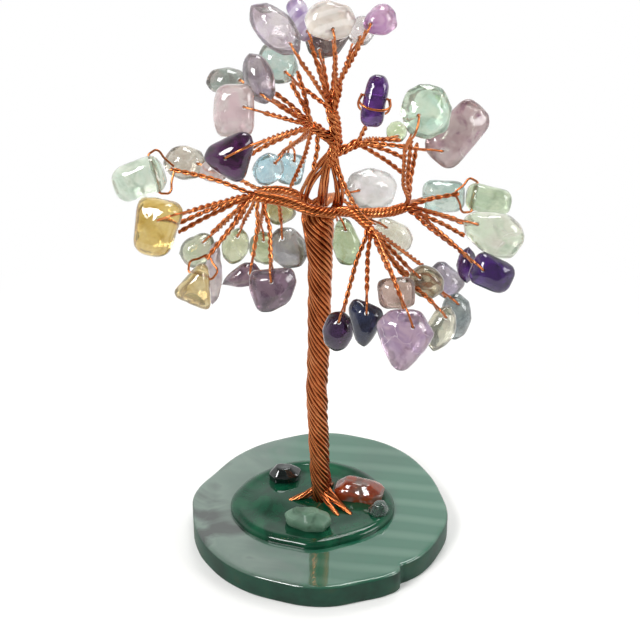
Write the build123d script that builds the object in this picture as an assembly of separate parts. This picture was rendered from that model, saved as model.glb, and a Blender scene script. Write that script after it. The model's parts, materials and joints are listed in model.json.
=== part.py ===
from build123d import *
import math
import os

# A gemstone tree: tumbled chips on a crown of twisted copper wire, standing on an agate slice.
# The origin lies on the trunk's foot axis, in the plane of the slice's underside. +Z is up and -Y is the show side.

# Agate slice
slice_width = 61.5
slice_depth = 61.5
slice_thickness = 6.0
slice_round = 0.7
slice_shift_x = -0.5
slice_shift_y = -1.5

# Clear resin pool that fixes the trunk and the four loose chips on the slice
pool_width = 39.5
pool_depth = 34.0
pool_thickness = 1.8
pool_round = 1.1
pool_shift_x = -2.2
pool_shift_y = -1.6

# Copper wire, its twisted pairs, the bundles that they gather into and the trunk
wire_diameter = 0.5
pair_diameter = 1.1
cage_diameter = 1.5
thin_bundle_diameter = 1.8
bundle_diameter = 2.3
leader_diameter = 2.8
trunk_diameter = 4.9
fork_height = 88.0
root_diameter = 1.7
root_rise = 3.4
root_reach = 8.0

# Crown of chips
crown_span = 90.0
chip_length = 12.0
hole_diameter = 1.0
loop_air = 0.35
shoulder_air = 0.1
crotch_air = 1.3
overrun = 4.0

# Angles in degrees and counts
show_lift = 28.0
trunk_lay = 27.0
chip_rock = 10.0
trunk_strands = 11
trunk_steps = 28
tube_sides = 6
loop_sides = 4
bundle_sides = 8
hole_sides = 8
round_steps = 1

# Outlines are closed rows of points, as shares of the half length and the half width.
slice_outline_shares = [
    (-0.99, -0.07), (-0.99, 0.17), (-0.85, 0.43), (-0.61, 0.74), (-0.28, 0.93), (0.03, 1.0), (0.31, 0.95),
    (0.62, 0.79), (0.85, 0.49), (0.97, 0.14), (1.0, -0.12), (0.93, -0.36), (0.78, -0.61), (0.67, -0.7),
    (0.615, -0.735), (0.605, -0.79), (0.52, -0.86), (0.33, -0.93), (0.03, -1.0), (-0.34, -0.92), (-0.63, -0.77), (-0.86, -0.51), (-0.96, -0.28),
]
pool_outline_shares = [
    (-1.0, -0.02), (-0.9, 0.36), (-0.62, 0.74), (-0.17, 1.0), (0.42, 0.9), (0.78, 0.54), (1.0, -0.08),
    (0.82, -0.54), (0.3, -0.9), (0.0, -1.0), (-0.22, -0.88), (-0.63, -0.74), (-0.9, -0.4),
]
oval_shares = [(1, 0.1), (0.72, 0.7), (0.05, 1), (-0.68, 0.78), (-1, 0.05), (-0.75, -0.72), (0, -1), (0.7, -0.75)]
block_shares = [(1, 0.5), (0.78, 0.95), (-0.72, 1), (-1, 0.62), (-0.94, -0.7), (-0.7, -1), (0.72, -0.9), (1, -0.5)]
tooth_shares = [(1, 0.38), (0.84, 0.7), (-0.7, 1), (-1, 0.8), (-1, -0.75), (-0.8, -0.95), (0.76, -0.8), (1, -0.42)]
triangle_shares = [(1, 0.8), (0.8, 1), (-0.85, 0.3), (-1, 0), (-0.88, -0.25), (0.62, -1), (0.9, -0.8)]
heart_shares = [(1, 0.1), (0.8, -0.4), (-0.5, -1), (-0.9, -0.85), (-1, -0.5), (-0.65, 0.85), (-0.3, 1), (0.6, 0.5)]
leaf_shares = [(1, 0.05), (0.66, 0.66), (0, 1), (-0.66, 0.72), (-1, 0.1), (-0.66, -0.66), (0, -0.95), (0.7, -0.66)]
shield_shares = [(-0.6, -0.95), (-0.95, 0.7), (-0.5, 1), (0.4, 0.8), (0.95, 0), (0.9, -0.45), (0.1, -0.9)]
wing_shares = [(1, 0.0), (0.2, 0.75), (-0.6, 1), (-1, 0.4), (-0.9, -0.6), (-0.4, -1), (0.5, -0.55)]
pear_shares = [(1, 0.15), (0.78, 0.75), (0.2, 1), (-0.75, 0.55), (-1, 0.1), (-0.8, -0.5), (0.1, -1), (0.8, -0.75)]
drop_shares = [(-0.96, -0.5), (-0.92, 0.57), (-0.16, 1), (0.4, 0.62), (1, -0.05), (0.92, -0.42), (0.16, -0.8), (-0.52, -1)]
crescent_shares = [(-0.9, 0.25), (-0.55, 0.75), (0.75, 1), (0.95, 0.6), (0.8, -0.95), (0.6, -1), (-0.6, -0.5)]

# A chip's sections from its back to its face: level, scale and the two shifts, as shares of its half sizes.
pebble_section_shares = [(-1, 0.52, 0.05, -0.06), (-0.45, 0.95, 0, 0), (0.3, 1, 0, 0), (1, 0.5, -0.08, 0.06)]
slab_section_shares = [(-1, 0.7, 0.03, 0.04), (-0.5, 1, 0, 0), (0.45, 0.97, 0, 0), (1, 0.68, -0.04, 0)]
lens_section_shares = [(-1, 0.5, 0.04, 0.05), (-0.05, 1, 0, 0), (1, 0.48, 0.05, -0.08)]

# Trunk: height, half width and sideways lean, as shares of the fork's height, the trunk's radius and the radius.
trunk_profile_shares = [
    (0.0, 1.1, 0.0), (0.05, 0.96, 0.0), (0.2, 0.95, -0.25), (0.4, 0.98, -0.42), (0.55, 1.02, -0.3),
    (0.7, 1.05, -0.15), (0.82, 1.12, -0.18), (0.93, 1.34, -0.25), (1.0, 1.58, -0.3),
]
groove_share = 0.86

# Loose chips in the resin: node, place, length, width and thickness, roll, outline and sections.
# Places are shares of the pool's half sizes, sizes are shares of chip_length, and the roll is in degrees.
pebble_shares = [
    ("pebble_black_green", (-0.34, 0.56), 0.68, 0.52, 0.32, 12, oval_shares, pebble_section_shares),
    ("pebble_orange_red", (0.57, 0.13), 1.02, 0.56, 0.38, -14, block_shares, pebble_section_shares),
    ("pebble_light_green", (-0.06, -0.52), 0.96, 0.6, 0.36, -12, pear_shares, pebble_section_shares),
    ("pebble_clear_white", (0.8, -0.26), 0.46, 0.42, 0.3, 40, oval_shares, lens_section_shares),
]

# Roots: points out from the trunk's foot, as shares of root_reach, root_reach and root_rise.
root_shares = [
    [(-0.05, 0.0, 1.0), (-0.42, -0.05, 0.62), (-1.0, -0.14, 0.25)],
    [(0.05, -0.05, 0.9), (0.42, -0.36, 0.5), (0.86, -0.74, 0.25)],
    [(0.02, -0.1, 0.8), (0.2, -0.5, 0.42), (0.55, -0.96, 0.25)],
    [(0.03, 0.1, 1.0), (0.2, 0.45, 0.6), (0.34, 0.78, 0.25)],
]

# Bundles: node, diameter and points from the fork, as shares of crown_span.
bundle_shares = {
    "leader": ("branch_leader", leader_diameter, [(0.018, 0, 0.112), (0.034, 0, 0.17), (0.03, 0, 0.225), (0.022, 0, 0.258)]),
    "crest": ("branch_leader", bundle_diameter, [(0.03, 0, 0.172), (0.002, -0.006, 0.2), (-0.022, -0.011, 0.22)]),
    "top_right": ("branch_leader", thin_bundle_diameter, [(0.02, 0, 0.24), (0.034, 0, 0.29), (0.04, 0, 0.325)]),
    "cage_left": ("branch_leader", cage_diameter, [(-0.036, 0, -0.01), (-0.024, 0, 0.06), (0.01, 0, 0.124)]),
    "cage_front": ("branch_leader", cage_diameter, [(-0.004, -0.026, -0.01), (0.012, -0.01, 0.122)]),
    "cage_back": ("branch_leader", cage_diameter, [(0.004, 0.028, -0.01), (0.018, 0.01, 0.122)]),
    "cage_right": ("branch_leader", cage_diameter, [(0.034, 0, -0.01), (0.04, 0, 0.06), (0.026, 0, 0.124)]),
    "upper_right": ("branch_upper_right", thin_bundle_diameter, [(0.024, 0, 0.138), (0.07, 0, 0.16), (0.086, -0.003, 0.17)]),
    "left": ("branch_left", bundle_diameter,
             [(0.032, -0.035, -0.004), (-0.02, -0.05, 0.012), (-0.08, -0.052, 0.036), (-0.164, -0.047, 0.052)]),
    "left_back": ("branch_left", thin_bundle_diameter, [(-0.02, 0.012, -0.01), (-0.08, 0.045, 0.012), (-0.148, 0.067, 0.004)]),
    "right": ("branch_right", bundle_diameter, [(0.024, -0.01, -0.01), (0.1, -0.012, -0.016), (0.17, -0.003, -0.016), (0.202, 0, -0.008)]),
    "lower_right": ("branch_lower_right", bundle_diameter,
                    [(0.03, -0.022, -0.006), (0.075, -0.055, 0.008), (0.116, -0.082, -0.014)]),
    "lower_pair": ("branch_lower_right", pair_diameter, [(0.034, -0.004, 0.118), (0.064, -0.036, 0.05), (0.1, -0.068, 0.0)]),
    "back": ("branch_back", bundle_diameter, [(0.0, 0.02, -0.01), (0.02, 0.09, -0.03), (0.042, 0.136, -0.052)]),
}

# Chips: node, bundle, share along it where the twig leaves, place from the fork as shares of crown_span,
# length, width and thickness as shares of chip_length, roll, turn and nod in degrees, outline, sections,
# "face" or "side" for the way it is drilled, the hole's place as shares of the half sizes, the twig's bow as
# a share of its length, and the angle in degrees by which the loop is swung about the hole.
chip_shares = [
    ("gem_top_rose_leaf", "leader", 1.0, (-0.107, -0.045, 0.486), (1.24, 0.74, 0.42), (139, -8, 4),
     leaf_shares, lens_section_shares, "face", (-0.66, 0.0), 0.03, 0),
    ("gem_top_lavender_bar", "leader", 0.99, (-0.047, 0.045, 0.47), (0.76, 0.4, 0.38), (111, 8, -6),
     block_shares, lens_section_shares, "face", (-0.58, 0.0), 0.0, 0),
    ("gem_top_cream_band", "top_right", 0.7, (0.02, -0.065, 0.515), (0.68, 0.9, 0.42), (86, 5, 0),
     oval_shares, slab_section_shares, "face", (-0.5, -0.05), 0.0, 0),
    ("gem_top_smoky_shield", "leader", 1.0, (0.01, 0.065, 0.392), (0.52, 0.82, 0.34), (92, -6, -8),
     crescent_shares, lens_section_shares, "face", (-0.2, 0.25), 0.0, 0),
    ("gem_top_clear_bead", "top_right", 1.0, (0.094, 0.13, 0.404), (0.6, 0.52, 0.38), (60, 12, 0),
     oval_shares, lens_section_shares, "face", (-0.46, 0.0), 0.0, 0),
    ("gem_top_pink_violet", "top_right", 1.0, (0.132, -0.033, 0.5), (0.62, 0.56, 0.42), (20, 6, 0),
     pear_shares, pebble_section_shares, "face", (-0.62, 0.0), 0.0, 0),
    ("gem_crest_teal", "leader", 0.95, (-0.106, 0.095, 0.336), (0.82, 0.68, 0.44), (122, 6, 0),
     oval_shares, pebble_section_shares, "face", (-0.52, 0.0), 0.03, 0),
    ("gem_crest_grey_oval", "crest", 1.0, (-0.148, 0.0, 0.34), (0.96, 0.56, 0.44), (114, -14, 0),
     oval_shares, pebble_section_shares, "face", (-0.64, 0.0), 0.0, 0),
    ("gem_crest_grey_green", "crest", 0.95, (-0.23, 0.08, 0.295), (0.76, 0.5, 0.42), (176, 10, 0),
     oval_shares, pebble_section_shares, "face", (-0.6, 0.0), 0.03, 0),
    ("gem_crest_rose_slab", "crest", 1.0, (-0.205, -0.095, 0.303), (0.74, 0.94, 0.4), (180, -6, 0),
     block_shares, slab_section_shares, "face", (-0.58, -0.12), 0.0, 0),
    ("gem_side_dark_heart", "crest", 0.96, (-0.212, -0.21, 0.241), (0.88, 0.86, 0.46), (184, -10, 0),
     heart_shares, pebble_section_shares, "face", (0.05, 0.05), 0.02, 0),
    ("gem_side_pale_rose", "crest", 0.9, (-0.262, 0.022, 0.082), (0.56, 0.42, 0.38), (188, 0, 0),
     oval_shares, pebble_section_shares, "face", (-0.55, 0.0), 0.05, 0),
    ("gem_side_sky_blue", "crest", 0.85, (-0.134, 0.11, 0.04), (0.64, 0.56, 0.42), (222, 12, 0),
     oval_shares, pebble_section_shares, "face", (-0.5, 0.0), 0.0, 0),
    ("gem_side_ice_blue", "crest", 0.75, (-0.08, 0.2, -0.006), (0.62, 0.56, 0.4), (250, 16, 0),
     block_shares, lens_section_shares, "face", (-0.5, 0.0), 0.0, 0),
    ("gem_upper_violet_column", "upper_right", 0.95, (0.124, -0.08, 0.32), (0.92, 0.42, 0.36), (79, 0, 0),
     block_shares, slab_section_shares, "side", (0.15, 0.0), 0.0, 0),
    ("gem_upper_small_green", "upper_right", 1.0, (0.185, 0.13, 0.134), (0.44, 0.42, 0.34), (70, 10, 0),
     oval_shares, lens_section_shares, "face", (-0.4, 0.0), 0.04, 0),
    ("gem_upper_plum_long", "upper_right", 1.0, (0.326, 0.022, 0.182), (1.3, 0.78, 0.5), (43, 8, 0),
     block_shares, pebble_section_shares, "face", (-0.68, 0.05), 0.03, 0),
    ("gem_left_green_block", "left", 0.95, (-0.44, -0.045, 0.096), (0.95, 0.68, 0.5), (200, -6, 0),
     block_shares, slab_section_shares, "side", (-0.62, 0.0), 0.04, 0),
    ("gem_left_yellow_tooth", "left", 1.0, (-0.39, -0.2, 0.05), (1.0, 0.84, 0.5), (264, -10, 0),
     tooth_shares, slab_section_shares, "face", (-0.3, 0.18), 0.02, 0),
    ("gem_left_yellow_triangle", "left", 0.98, (-0.295, -0.225, -0.09), (0.78, 0.72, 0.44), (255, -6, 0),
     triangle_shares, pebble_section_shares, "side", (-0.4, 0.0), 0.0, 0),
    ("gem_left_mauve_wing", "left", 0.9, (-0.198, -0.11, -0.14), (0.78, 0.5, 0.38), (203, 0, 0),
     wing_shares, lens_section_shares, "face", (-0.5, 0.0), 0.0, 0),
    ("gem_left_mauve_shield", "left", 0.82, (-0.12, -0.245, -0.092), (0.9, 0.88, 0.48), (264, -4, 0),
     shield_shares, pebble_section_shares, "face", (-0.32, 0.0), 0.0, 0),
    ("gem_left_clear_rough", "left_back", 1.0, (-0.345, 0.18, 0.022), (0.84, 0.66, 0.44), (172, 8, 0),
     oval_shares, pebble_section_shares, "face", (-0.56, 0.0), 0.03, 0),
    ("gem_left_grey_green", "left", 1.0, (-0.31, 0.045, -0.152), (0.76, 0.64, 0.42), (232, 0, 0),
     pear_shares, lens_section_shares, "face", (-0.5, 0.0), 0.0, 0),
    ("gem_left_lavender_drop", "left", 0.96, (-0.268, -0.055, -0.16), (1.2, 0.38, 0.34), (266, 0, 0),
     pear_shares, lens_section_shares, "face", (-0.72, 0.0), 0.0, 0),
    ("gem_left_leaf_green", "left_back", 1.0, (-0.222, 0.133, -0.192), (0.74, 0.58, 0.4), (254, 6, 0),
     leaf_shares, pebble_section_shares, "face", (-0.5, 0.0), 0.0, 0),
    ("gem_left_back_green", "left_back", 0.9, (-0.15, 0.2, -0.238), (0.7, 0.6, 0.4), (276, 10, 0),
     oval_shares, lens_section_shares, "face", (-0.46, 0.0), 0.0, 0),
    ("gem_left_smoke_clear", "left_back", 0.7, (-0.085, 0.08, -0.168), (0.86, 0.72, 0.42), (300, 0, 0),
     oval_shares, pebble_section_shares, "face", (-0.5, 0.0), 0.0, 0),
    ("gem_left_back_lime", "left_back", 0.8, (-0.11, 0.225, -0.132), (0.64, 0.58, 0.4), (285, 16, 0),
     block_shares, lens_section_shares, "face", (-0.46, 0.0), 0.0, 0),
    ("gem_right_green_hexagon", "right", 0.97, (0.241, -0.11, 0.308), (0.98, 0.92, 0.5), (95, 4, 0),
     oval_shares, pebble_section_shares, "face", (-0.12, 0.36), -0.04, 0),
    ("gem_right_pale_teal", "right", 1.0, (0.307, 0.155, -0.062), (0.84, 0.62, 0.42), (-5, 8, 0),
     block_shares, pebble_section_shares, "face", (-0.56, 0.0), 0.03, 0),
    ("gem_right_green_bar", "right", 1.0, (0.406, -0.015, 0.022), (0.85, 0.5, 0.4), (-14, 4, 0),
     block_shares, slab_section_shares, "side", (-0.62, 0.0), 0.04, 0),
    ("gem_right_green_long", "right", 1.0, (0.408, -0.155, 0.01), (1.2, 0.82, 0.5), (-24, 6, 0),
     pear_shares, slab_section_shares, "face", (-0.62, 0.06), 0.02, 0),
    ("gem_right_violet_narrow", "right", 0.98, (0.353, -0.1, -0.112), (0.7, 0.42, 0.36), (268, 0, 0),
     leaf_shares, lens_section_shares, "face", (-0.5, 0.0), 0.0, 0),
    ("gem_right_violet_wedge", "right", 1.0, (0.4, -0.24, -0.052), (0.78, 0.6, 0.42), (-28, 4, 0),
     block_shares, pebble_section_shares, "face", (-0.5, -0.05), 0.03, 0),
    ("gem_lower_dark_plum", "lower_right", 0.9, (0.04, -0.156, -0.266), (0.76, 0.6, 0.44), (262, -8, 0),
     oval_shares, pebble_section_shares, "face", (-0.48, 0.0), 0.0, 0),
    ("gem_lower_blue_black", "lower_right", 0.95, (0.104, -0.225, -0.2), (0.86, 0.66, 0.44), (264, 0, 0),
     heart_shares, pebble_section_shares, "face", (-0.45, 0.0), 0.0, 0),
    ("gem_lower_light_amethyst", "lower_right", 1.0, (0.197, -0.31, -0.192), (1.14, 1.04, 0.54), (270, 4, 0),
     drop_shares, pebble_section_shares, "face", (-0.42, 0.22), 0.05, 0),
    ("gem_lower_smoky_pink", "lower_right", 0.97, (0.18, -0.17, -0.149), (0.58, 0.7, 0.4), (272, 0, 0),
     block_shares, pebble_section_shares, "face", (-0.36, 0.0), 0.0, 0),
    ("gem_lower_green_smoke", "lower_right", 0.97, (0.256, -0.1, -0.16), (0.72, 0.6, 0.42), (-32, 6, 0),
     oval_shares, pebble_section_shares, "face", (-0.5, 0.0), 0.0, 0),
    ("gem_lower_lavender_grey", "lower_right", 0.9, (0.312, 0.065, -0.256), (0.74, 0.6, 0.4), (-44, 10, 0),
     block_shares, lens_section_shares, "face", (-0.52, 0.0), 0.0, 0),
    ("gem_lower_pale_green", "lower_right", 1.0, (0.288, -0.185, -0.24), (0.9, 0.58, 0.4), (248, 6, 0),
     leaf_shares, pebble_section_shares, "face", (-0.5, 0.0), -0.09, 0),
    ("gem_lower_grey_blue", "lower_right", 0.94, (0.334, -0.045, -0.294), (0.9, 0.62, 0.4), (262, 10, 0),
     oval_shares, pebble_section_shares, "face", (-0.54, 0.0), -0.12, 0),
    ("gem_back_green_pear", "back", 0.9, (0.062, 0.18, -0.208), (0.96, 0.58, 0.44), (275, 10, 0),
     pear_shares, pebble_section_shares, "face", (-0.5, 0.0), 0.0, 0),
    ("gem_back_white_oval", "back", 1.0, (0.13, 0.33, -0.135), (1.16, 0.9, 0.46), (-6, 24, 0),
     oval_shares, lens_section_shares, "face", (-0.58, 0.0), 0.02, 0),
    ("gem_back_clear_drop", "back", 1.0, (0.182, 0.2, -0.2), (0.84, 0.66, 0.42), (-50, 14, 0),
     pear_shares, pebble_section_shares, "face", (-0.54, 0.0), 0.0, 0),
]

# Pairs that end behind other chips: bundle, share along it, end from the fork as shares of crown_span, and bow.
bare_pair_shares = [
    ("crest", 1.0, (-0.058, 0.05, 0.335), 0.03),
    ("crest", 0.97, (-0.073, 0.012, 0.322), 0.04),
    ("leader", 1.0, (0.034, 0.1, 0.372), 0.0),
    ("leader", 1.0, (-0.009, 0.1, 0.336), 0.0),
    ("crest", 0.98, (-0.112, 0.03, 0.288), 0.04),
    ("crest", 0.8, (-0.077, 0.111, -0.01), 0.0),
    ("crest", 0.62, (-0.021, -0.044, 0.12), 0.0),
    ("upper_right", 0.98, (0.19, 0.05, 0.152), 0.05),
    ("upper_right", 1.0, (0.197, 0.012, 0.124), 0.05),
    ("upper_right", 0.9, (0.2, 0.035, 0.068), 0.05),
    ("right", 1.0, (0.213, -0.026, 0.186), -0.03),
    ("right", 1.0, (0.232, 0.055, 0.142), -0.04),
    ("right", 1.0, (0.357, -0.035, -0.036), 0.04),
    ("right", 0.97, (0.352, 0.0, -0.086), 0.04),
    ("left", 1.0, (-0.345, -0.111, 0.01), 0.03),
    ("left", 0.97, (-0.346, -0.089, -0.026), 0.03),
    ("left", 0.94, (-0.27, -0.02, -0.068), 0.05),
]


def crown_spot(shares):
    """A place in the crown, measured from the middle of the fork."""
    return Vector(shares[0] * crown_span, shares[1] * crown_span, fork_height + shares[2] * crown_span)


def along_path(points, share):
    """The point at a share of a path's length."""
    lengths = [(second - first).length for first, second in zip(points, points[1:])]
    left = share * sum(lengths)
    for first, second, length in zip(points, points[1:], lengths):
        if left <= length:
            return first + (second - first) * (left / length)
        left -= length
    return points[-1]


def edge_distance(outline, start, heading):
    """How far a straight line runs from start to the outline, in the outline's plane."""
    farthest = 0
    for first, second in zip(outline, outline[1:] + outline[:1]):
        side_x = second[0] - first[0]
        side_y = second[1] - first[1]
        cross = heading[0] * side_y - heading[1] * side_x
        if cross == 0:
            continue
        gap_x = first[0] - start[0]
        gap_y = first[1] - start[1]
        along = (gap_x * side_y - gap_y * side_x) / cross
        across = (gap_x * heading[1] - gap_y * heading[0]) / cross
        if along > 0 and 0 <= across <= 1:
            farthest = max(farthest, along)
    return farthest


def tube(points, radius, sides):
    """A many-sided bar along straight runs with mitred corners."""
    path = Polyline(*points)
    start = Plane(origin=points[0], z_dir=points[1] - points[0])
    return sweep(start * RegularPolygon(radius, sides), path=path, transition=Transition.RIGHT)


def chip_points(plane, outline, sections, length, width, thickness):
    """The corners of a chip, one scaled outline at each of its levels."""
    points = []
    for level, scale, shift_x, shift_y in sections:
        for share_x, share_y in outline:
            x = (share_x * scale + shift_x) * length / 2
            y = (share_y * scale + shift_y) * width / 2
            points.append(plane.from_local_coords(Vector(x, y, level * thickness / 2)))
    return points


def pair_run(start, finish, bow):
    """A pair's run from its bundle to its end, bent in the middle where it bows."""
    reach = finish - start
    bend = start + reach * 0.5 + Vector(0, 0, 1) * (bow * reach.length)
    return [start, bend, finish] if bow else [start, finish]


def plan_bare_pair(row):
    """The node and the run of a pair without a chip."""
    bundle, start_share, end, bow = row
    start = along_path(bundle_paths[bundle], start_share)
    return bundle_shares[bundle][0], pair_run(start, crown_spot(end), bow)


def plan_chip(row):
    """Where a chip, its hole, its loop and its twig lie."""
    name, bundle, start_share, place, sizes, angles, outline, sections, drill, hole, bow, swing = row
    length, width, thickness = [share * chip_length for share in sizes]
    roll, turn, nod = [math.radians(angle) for angle in angles]
    lift = math.radians(show_lift) + nod
    facing = Vector(math.cos(lift) * math.sin(turn), -math.cos(lift) * math.cos(turn), math.sin(lift))
    right = Vector(math.cos(turn), math.sin(turn), 0)
    up = facing.cross(right)
    plane = Plane(origin=crown_spot(place), x_dir=right * math.cos(roll) + up * math.sin(roll), z_dir=facing)
    full = [(x * length / 2, y * width / 2) for x, y in outline]
    hole_x = hole[0] * length / 2
    hole_y = hole[1] * width / 2
    middle = plane.from_local_coords(Vector(hole_x, hole_y, 0))
    start = along_path(bundle_paths[bundle], start_share)
    if drill == "face":
        axis = plane.z_dir
        side = plane.y_dir
        profile = full
        seat = (hole_x, hole_y)
        ahead = thickness / 2
        behind = thickness / 2
    else:
        axis = plane.y_dir
        side = plane.z_dir
        left_edge = min(x for x, y in full)
        right_edge = max(x for x, y in full)
        profile = [((left_edge * scale + shift * length / 2), level * thickness / 2)
                   for level, scale, shift, skip in sections]
        profile += [((right_edge * scale + shift * length / 2), level * thickness / 2)
                    for level, scale, shift, skip in reversed(sections)]
        seat = (hole_x, 0)
        ahead = edge_distance(full, (hole_x, hole_y), (0, 1))
        behind = edge_distance(full, (hole_x, hole_y), (0, -1))
    heading = middle - start
    heading = (heading - axis * heading.dot(axis)).normalized()
    if swing:
        heading = heading.rotate(Axis((0, 0, 0), axis), swing)
    angle = math.atan2(-heading.dot(side), -heading.dot(plane.x_dir))
    rock = math.radians(chip_rock)
    edge = max(edge_distance(profile, seat, (math.cos(angle + tilt), math.sin(angle + tilt)))
               for tilt in (-rock, 0, rock))
    wide_ahead = ahead + loop_air + wire_diameter / 2
    wide_behind = behind + loop_air + wire_diameter / 2
    crotch = middle + axis * ((wide_ahead - wide_behind) / 2) - heading * (edge + crotch_air + wire_diameter / 2)
    shoulder = heading * (edge + shoulder_air)
    loop = [
        crotch,
        middle + axis * wide_ahead - shoulder,
        middle + axis * wide_ahead,
        middle - axis * wide_behind,
        middle - axis * wide_behind - shoulder,
        crotch,
    ]
    return dict(name=name, node=bundle_shares[bundle][0], plane=plane, outline=outline, sections=sections,
                size=(length, width, thickness), middle=middle, axis=axis, loop=loop,
                twig=pair_run(start, crotch, bow), depth=max(ahead, behind))


bundle_paths = {name: [crown_spot(point) for point in row[2]] for name, row in bundle_shares.items()}
plans = [plan_chip(row) for row in chip_shares]
bare_pairs = [plan_bare_pair(row) for row in bare_pair_shares]


def chip_solid(plan):
    """A tumbled chip with its drilled hole."""
    points = chip_points(plan["plane"], plan["outline"], plan["sections"], *plan["size"])
    drill = Plane(origin=plan["middle"], z_dir=plan["axis"]) * RegularPolygon(hole_diameter / 2, hole_sides)
    return ConvexPolyhedron(points) - extrude(drill, amount=plan["depth"] + overrun, both=True)


def twig_solid(plan):
    """A twisted pair with the open loop that its end makes through the chip."""
    loop = tube(plan["loop"], wire_diameter / 2, loop_sides)
    return tube(plan["twig"], pair_diameter / 2, tube_sides) + loop


def trunk_solid():
    """Strands laid round each other, tapering from the fork to the foot, as one grooved column."""
    sections = []
    turn = 0
    rise = fork_height - slice_thickness
    for step in range(trunk_steps + 1):
        share = step / trunk_steps
        for low, high in zip(trunk_profile_shares, trunk_profile_shares[1:]):
            if low[0] <= share <= high[0]:
                part = (share - low[0]) / (high[0] - low[0])
                radius = (low[1] + (high[1] - low[1]) * part) * trunk_diameter / 2
                lean = (low[2] + (high[2] - low[2]) * part) * trunk_diameter / 2
        points = []
        for corner in range(2 * trunk_strands):
            angle = turn + math.pi * corner / trunk_strands
            reach = radius if corner % 2 == 0 else radius * groove_share
            points.append(Vector(lean + reach * math.cos(angle), reach * math.sin(angle), slice_thickness + rise * share))
        sections.append(points)
        turn -= math.tan(math.radians(trunk_lay)) * rise / trunk_steps / radius
    faces = [Face(Wire.make_polygon(sections[0])), Face(Wire.make_polygon(sections[-1]))]
    for low, high in zip(sections, sections[1:]):
        for corner in range(len(low)):
            after = (corner + 1) % len(low)
            faces.append(Face(Wire.make_polygon([low[corner], low[after], high[after]])))
            faces.append(Face(Wire.make_polygon([low[corner], high[after], high[corner]])))
    return Solid(Shell(faces))


def rim_lines(radius):
    """Height and inset of each line round an eased rim, from its flat face to its side."""
    if radius == 0:
        return [(0, 0)]
    turns = [math.pi / 2 * step / round_steps for step in range(round_steps, -1, -1)]
    return [(radius * (1 - math.sin(turn)), radius * (1 - math.cos(turn))) for turn in turns]


def eased_slab(outline, width, depth, centre_x, centre_y, bottom, thickness, foot_round, top_round):
    """A slab on a smooth closed outline, with its rims eased in narrow flats."""
    lines = [(bottom + height, inset) for height, inset in rim_lines(foot_round)]
    lines += [(bottom + thickness - height, inset) for height, inset in reversed(rim_lines(top_round))]
    faces = []
    for level, inset in lines:
        points = [(centre_x + x * (width / 2 - inset), centre_y + y * (depth / 2 - inset)) for x, y in outline]
        faces.append(Plane(origin=(0, 0, level)) * make_face(Spline(*points, periodic=True)))
    return loft(faces, ruled=True)


def boxes_meet(first, second):
    """Whether two solids are near enough to touch."""
    a = first.bounding_box()
    b = second.bounding_box()
    return (a.min.X <= b.max.X and b.min.X <= a.max.X and a.min.Y <= b.max.Y and b.min.Y <= a.max.Y
            and a.min.Z <= b.max.Z and b.min.Z <= a.max.Z)


def lay_against(solid, others):
    """The solid with every neighbour's share of the space cut away, so that they meet face to face."""
    for other in others:
        if boxes_meet(solid, other):
            solid = solid - other
            solid = sorted(solid.solids(), key=lambda piece: piece.volume)[-1]
    return solid


def write_node(name, solids):
    """One STEP file with the node's solids."""
    shape = solids[0] if len(solids) == 1 else Compound(children=solids)
    export_step(shape, os.path.join("parts", name + ".step"))


os.makedirs("parts", exist_ok=True)

# Slice
agate = eased_slab(slice_outline_shares, slice_width, slice_depth, slice_shift_x, slice_shift_y,
                   0, slice_thickness, slice_round, slice_round)
write_node("base_slice", [agate.solids()[0]])

# Trunk and roots
trunk = trunk_solid()
write_node("trunk", [trunk])
roots = []
for row in root_shares:
    points = [Vector(x * root_reach, y * root_reach, slice_thickness + z * root_rise) for x, y, z in row]
    root = tube(points, root_diameter / 2, bundle_sides)
    roots.append(lay_against(root, [agate, trunk] + roots))
write_node("roots", roots)

# Resin pool with the four loose chips
pool = eased_slab(pool_outline_shares, pool_width, pool_depth, pool_shift_x, pool_shift_y,
                  slice_thickness, pool_thickness, 0, pool_round)
for name, place, long, wide, thick, roll, outline, sections in pebble_shares:
    centre = Vector(pool_shift_x + place[0] * pool_width / 2, pool_shift_y + place[1] * pool_depth / 2,
                    slice_thickness + thick * chip_length / 2)
    heading = Vector(math.cos(math.radians(roll)), math.sin(math.radians(roll)), 0)
    plane = Plane(origin=centre, x_dir=heading, z_dir=(0, 0, 1))
    pebble = ConvexPolyhedron(chip_points(plane, outline, sections, long * chip_length, wide * chip_length, thick * chip_length))
    pebble = lay_against(pebble, [trunk] + roots)
    pool = pool - pebble
    write_node(name, [pebble])
for piece in [trunk] + roots:
    pool = pool - piece
write_node("base_resin", [sorted(pool.solids(), key=lambda piece: piece.volume)[-1]])

# Bundles, twigs and loops, each laid against the wires that are there before it
wires = [trunk]
nodes = {}
for name, (node, diameter, shares) in bundle_shares.items():
    sides = bundle_sides if diameter > pair_diameter else tube_sides
    solid = lay_against(tube(bundle_paths[name], diameter / 2, sides), wires)
    wires.append(solid)
    nodes.setdefault(node, []).append(solid)
for plan in plans:
    solid = lay_against(twig_solid(plan), wires)
    wires.append(solid)
    nodes[plan["node"]].append(solid)
for node, run in bare_pairs:
    solid = lay_against(tube(run, pair_diameter / 2, tube_sides), wires)
    wires.append(solid)
    nodes[node].append(solid)
for node, solids in nodes.items():
    write_node(node, solids)

# Chips
for plan in plans:
    write_node(plan["name"], [chip_solid(plan).solids()[0]])
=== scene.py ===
# %% [markdown]
# # A gemstone tree
# This lesson dresses a small ornament: a twisted copper trunk on an agate slice, with 46 tumbled gem chips
# for leaves. The CAD model gives the frame: every body, every hole and every size is already fixed there.
# Blender adds what the eye looks for: single wires laid round each other, rounded stones, veils and polish.

# %% Load the frame
import json
import math
from functools import partial

import bmesh
import bpy
from mathutils import Matrix, Vector, noise


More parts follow.
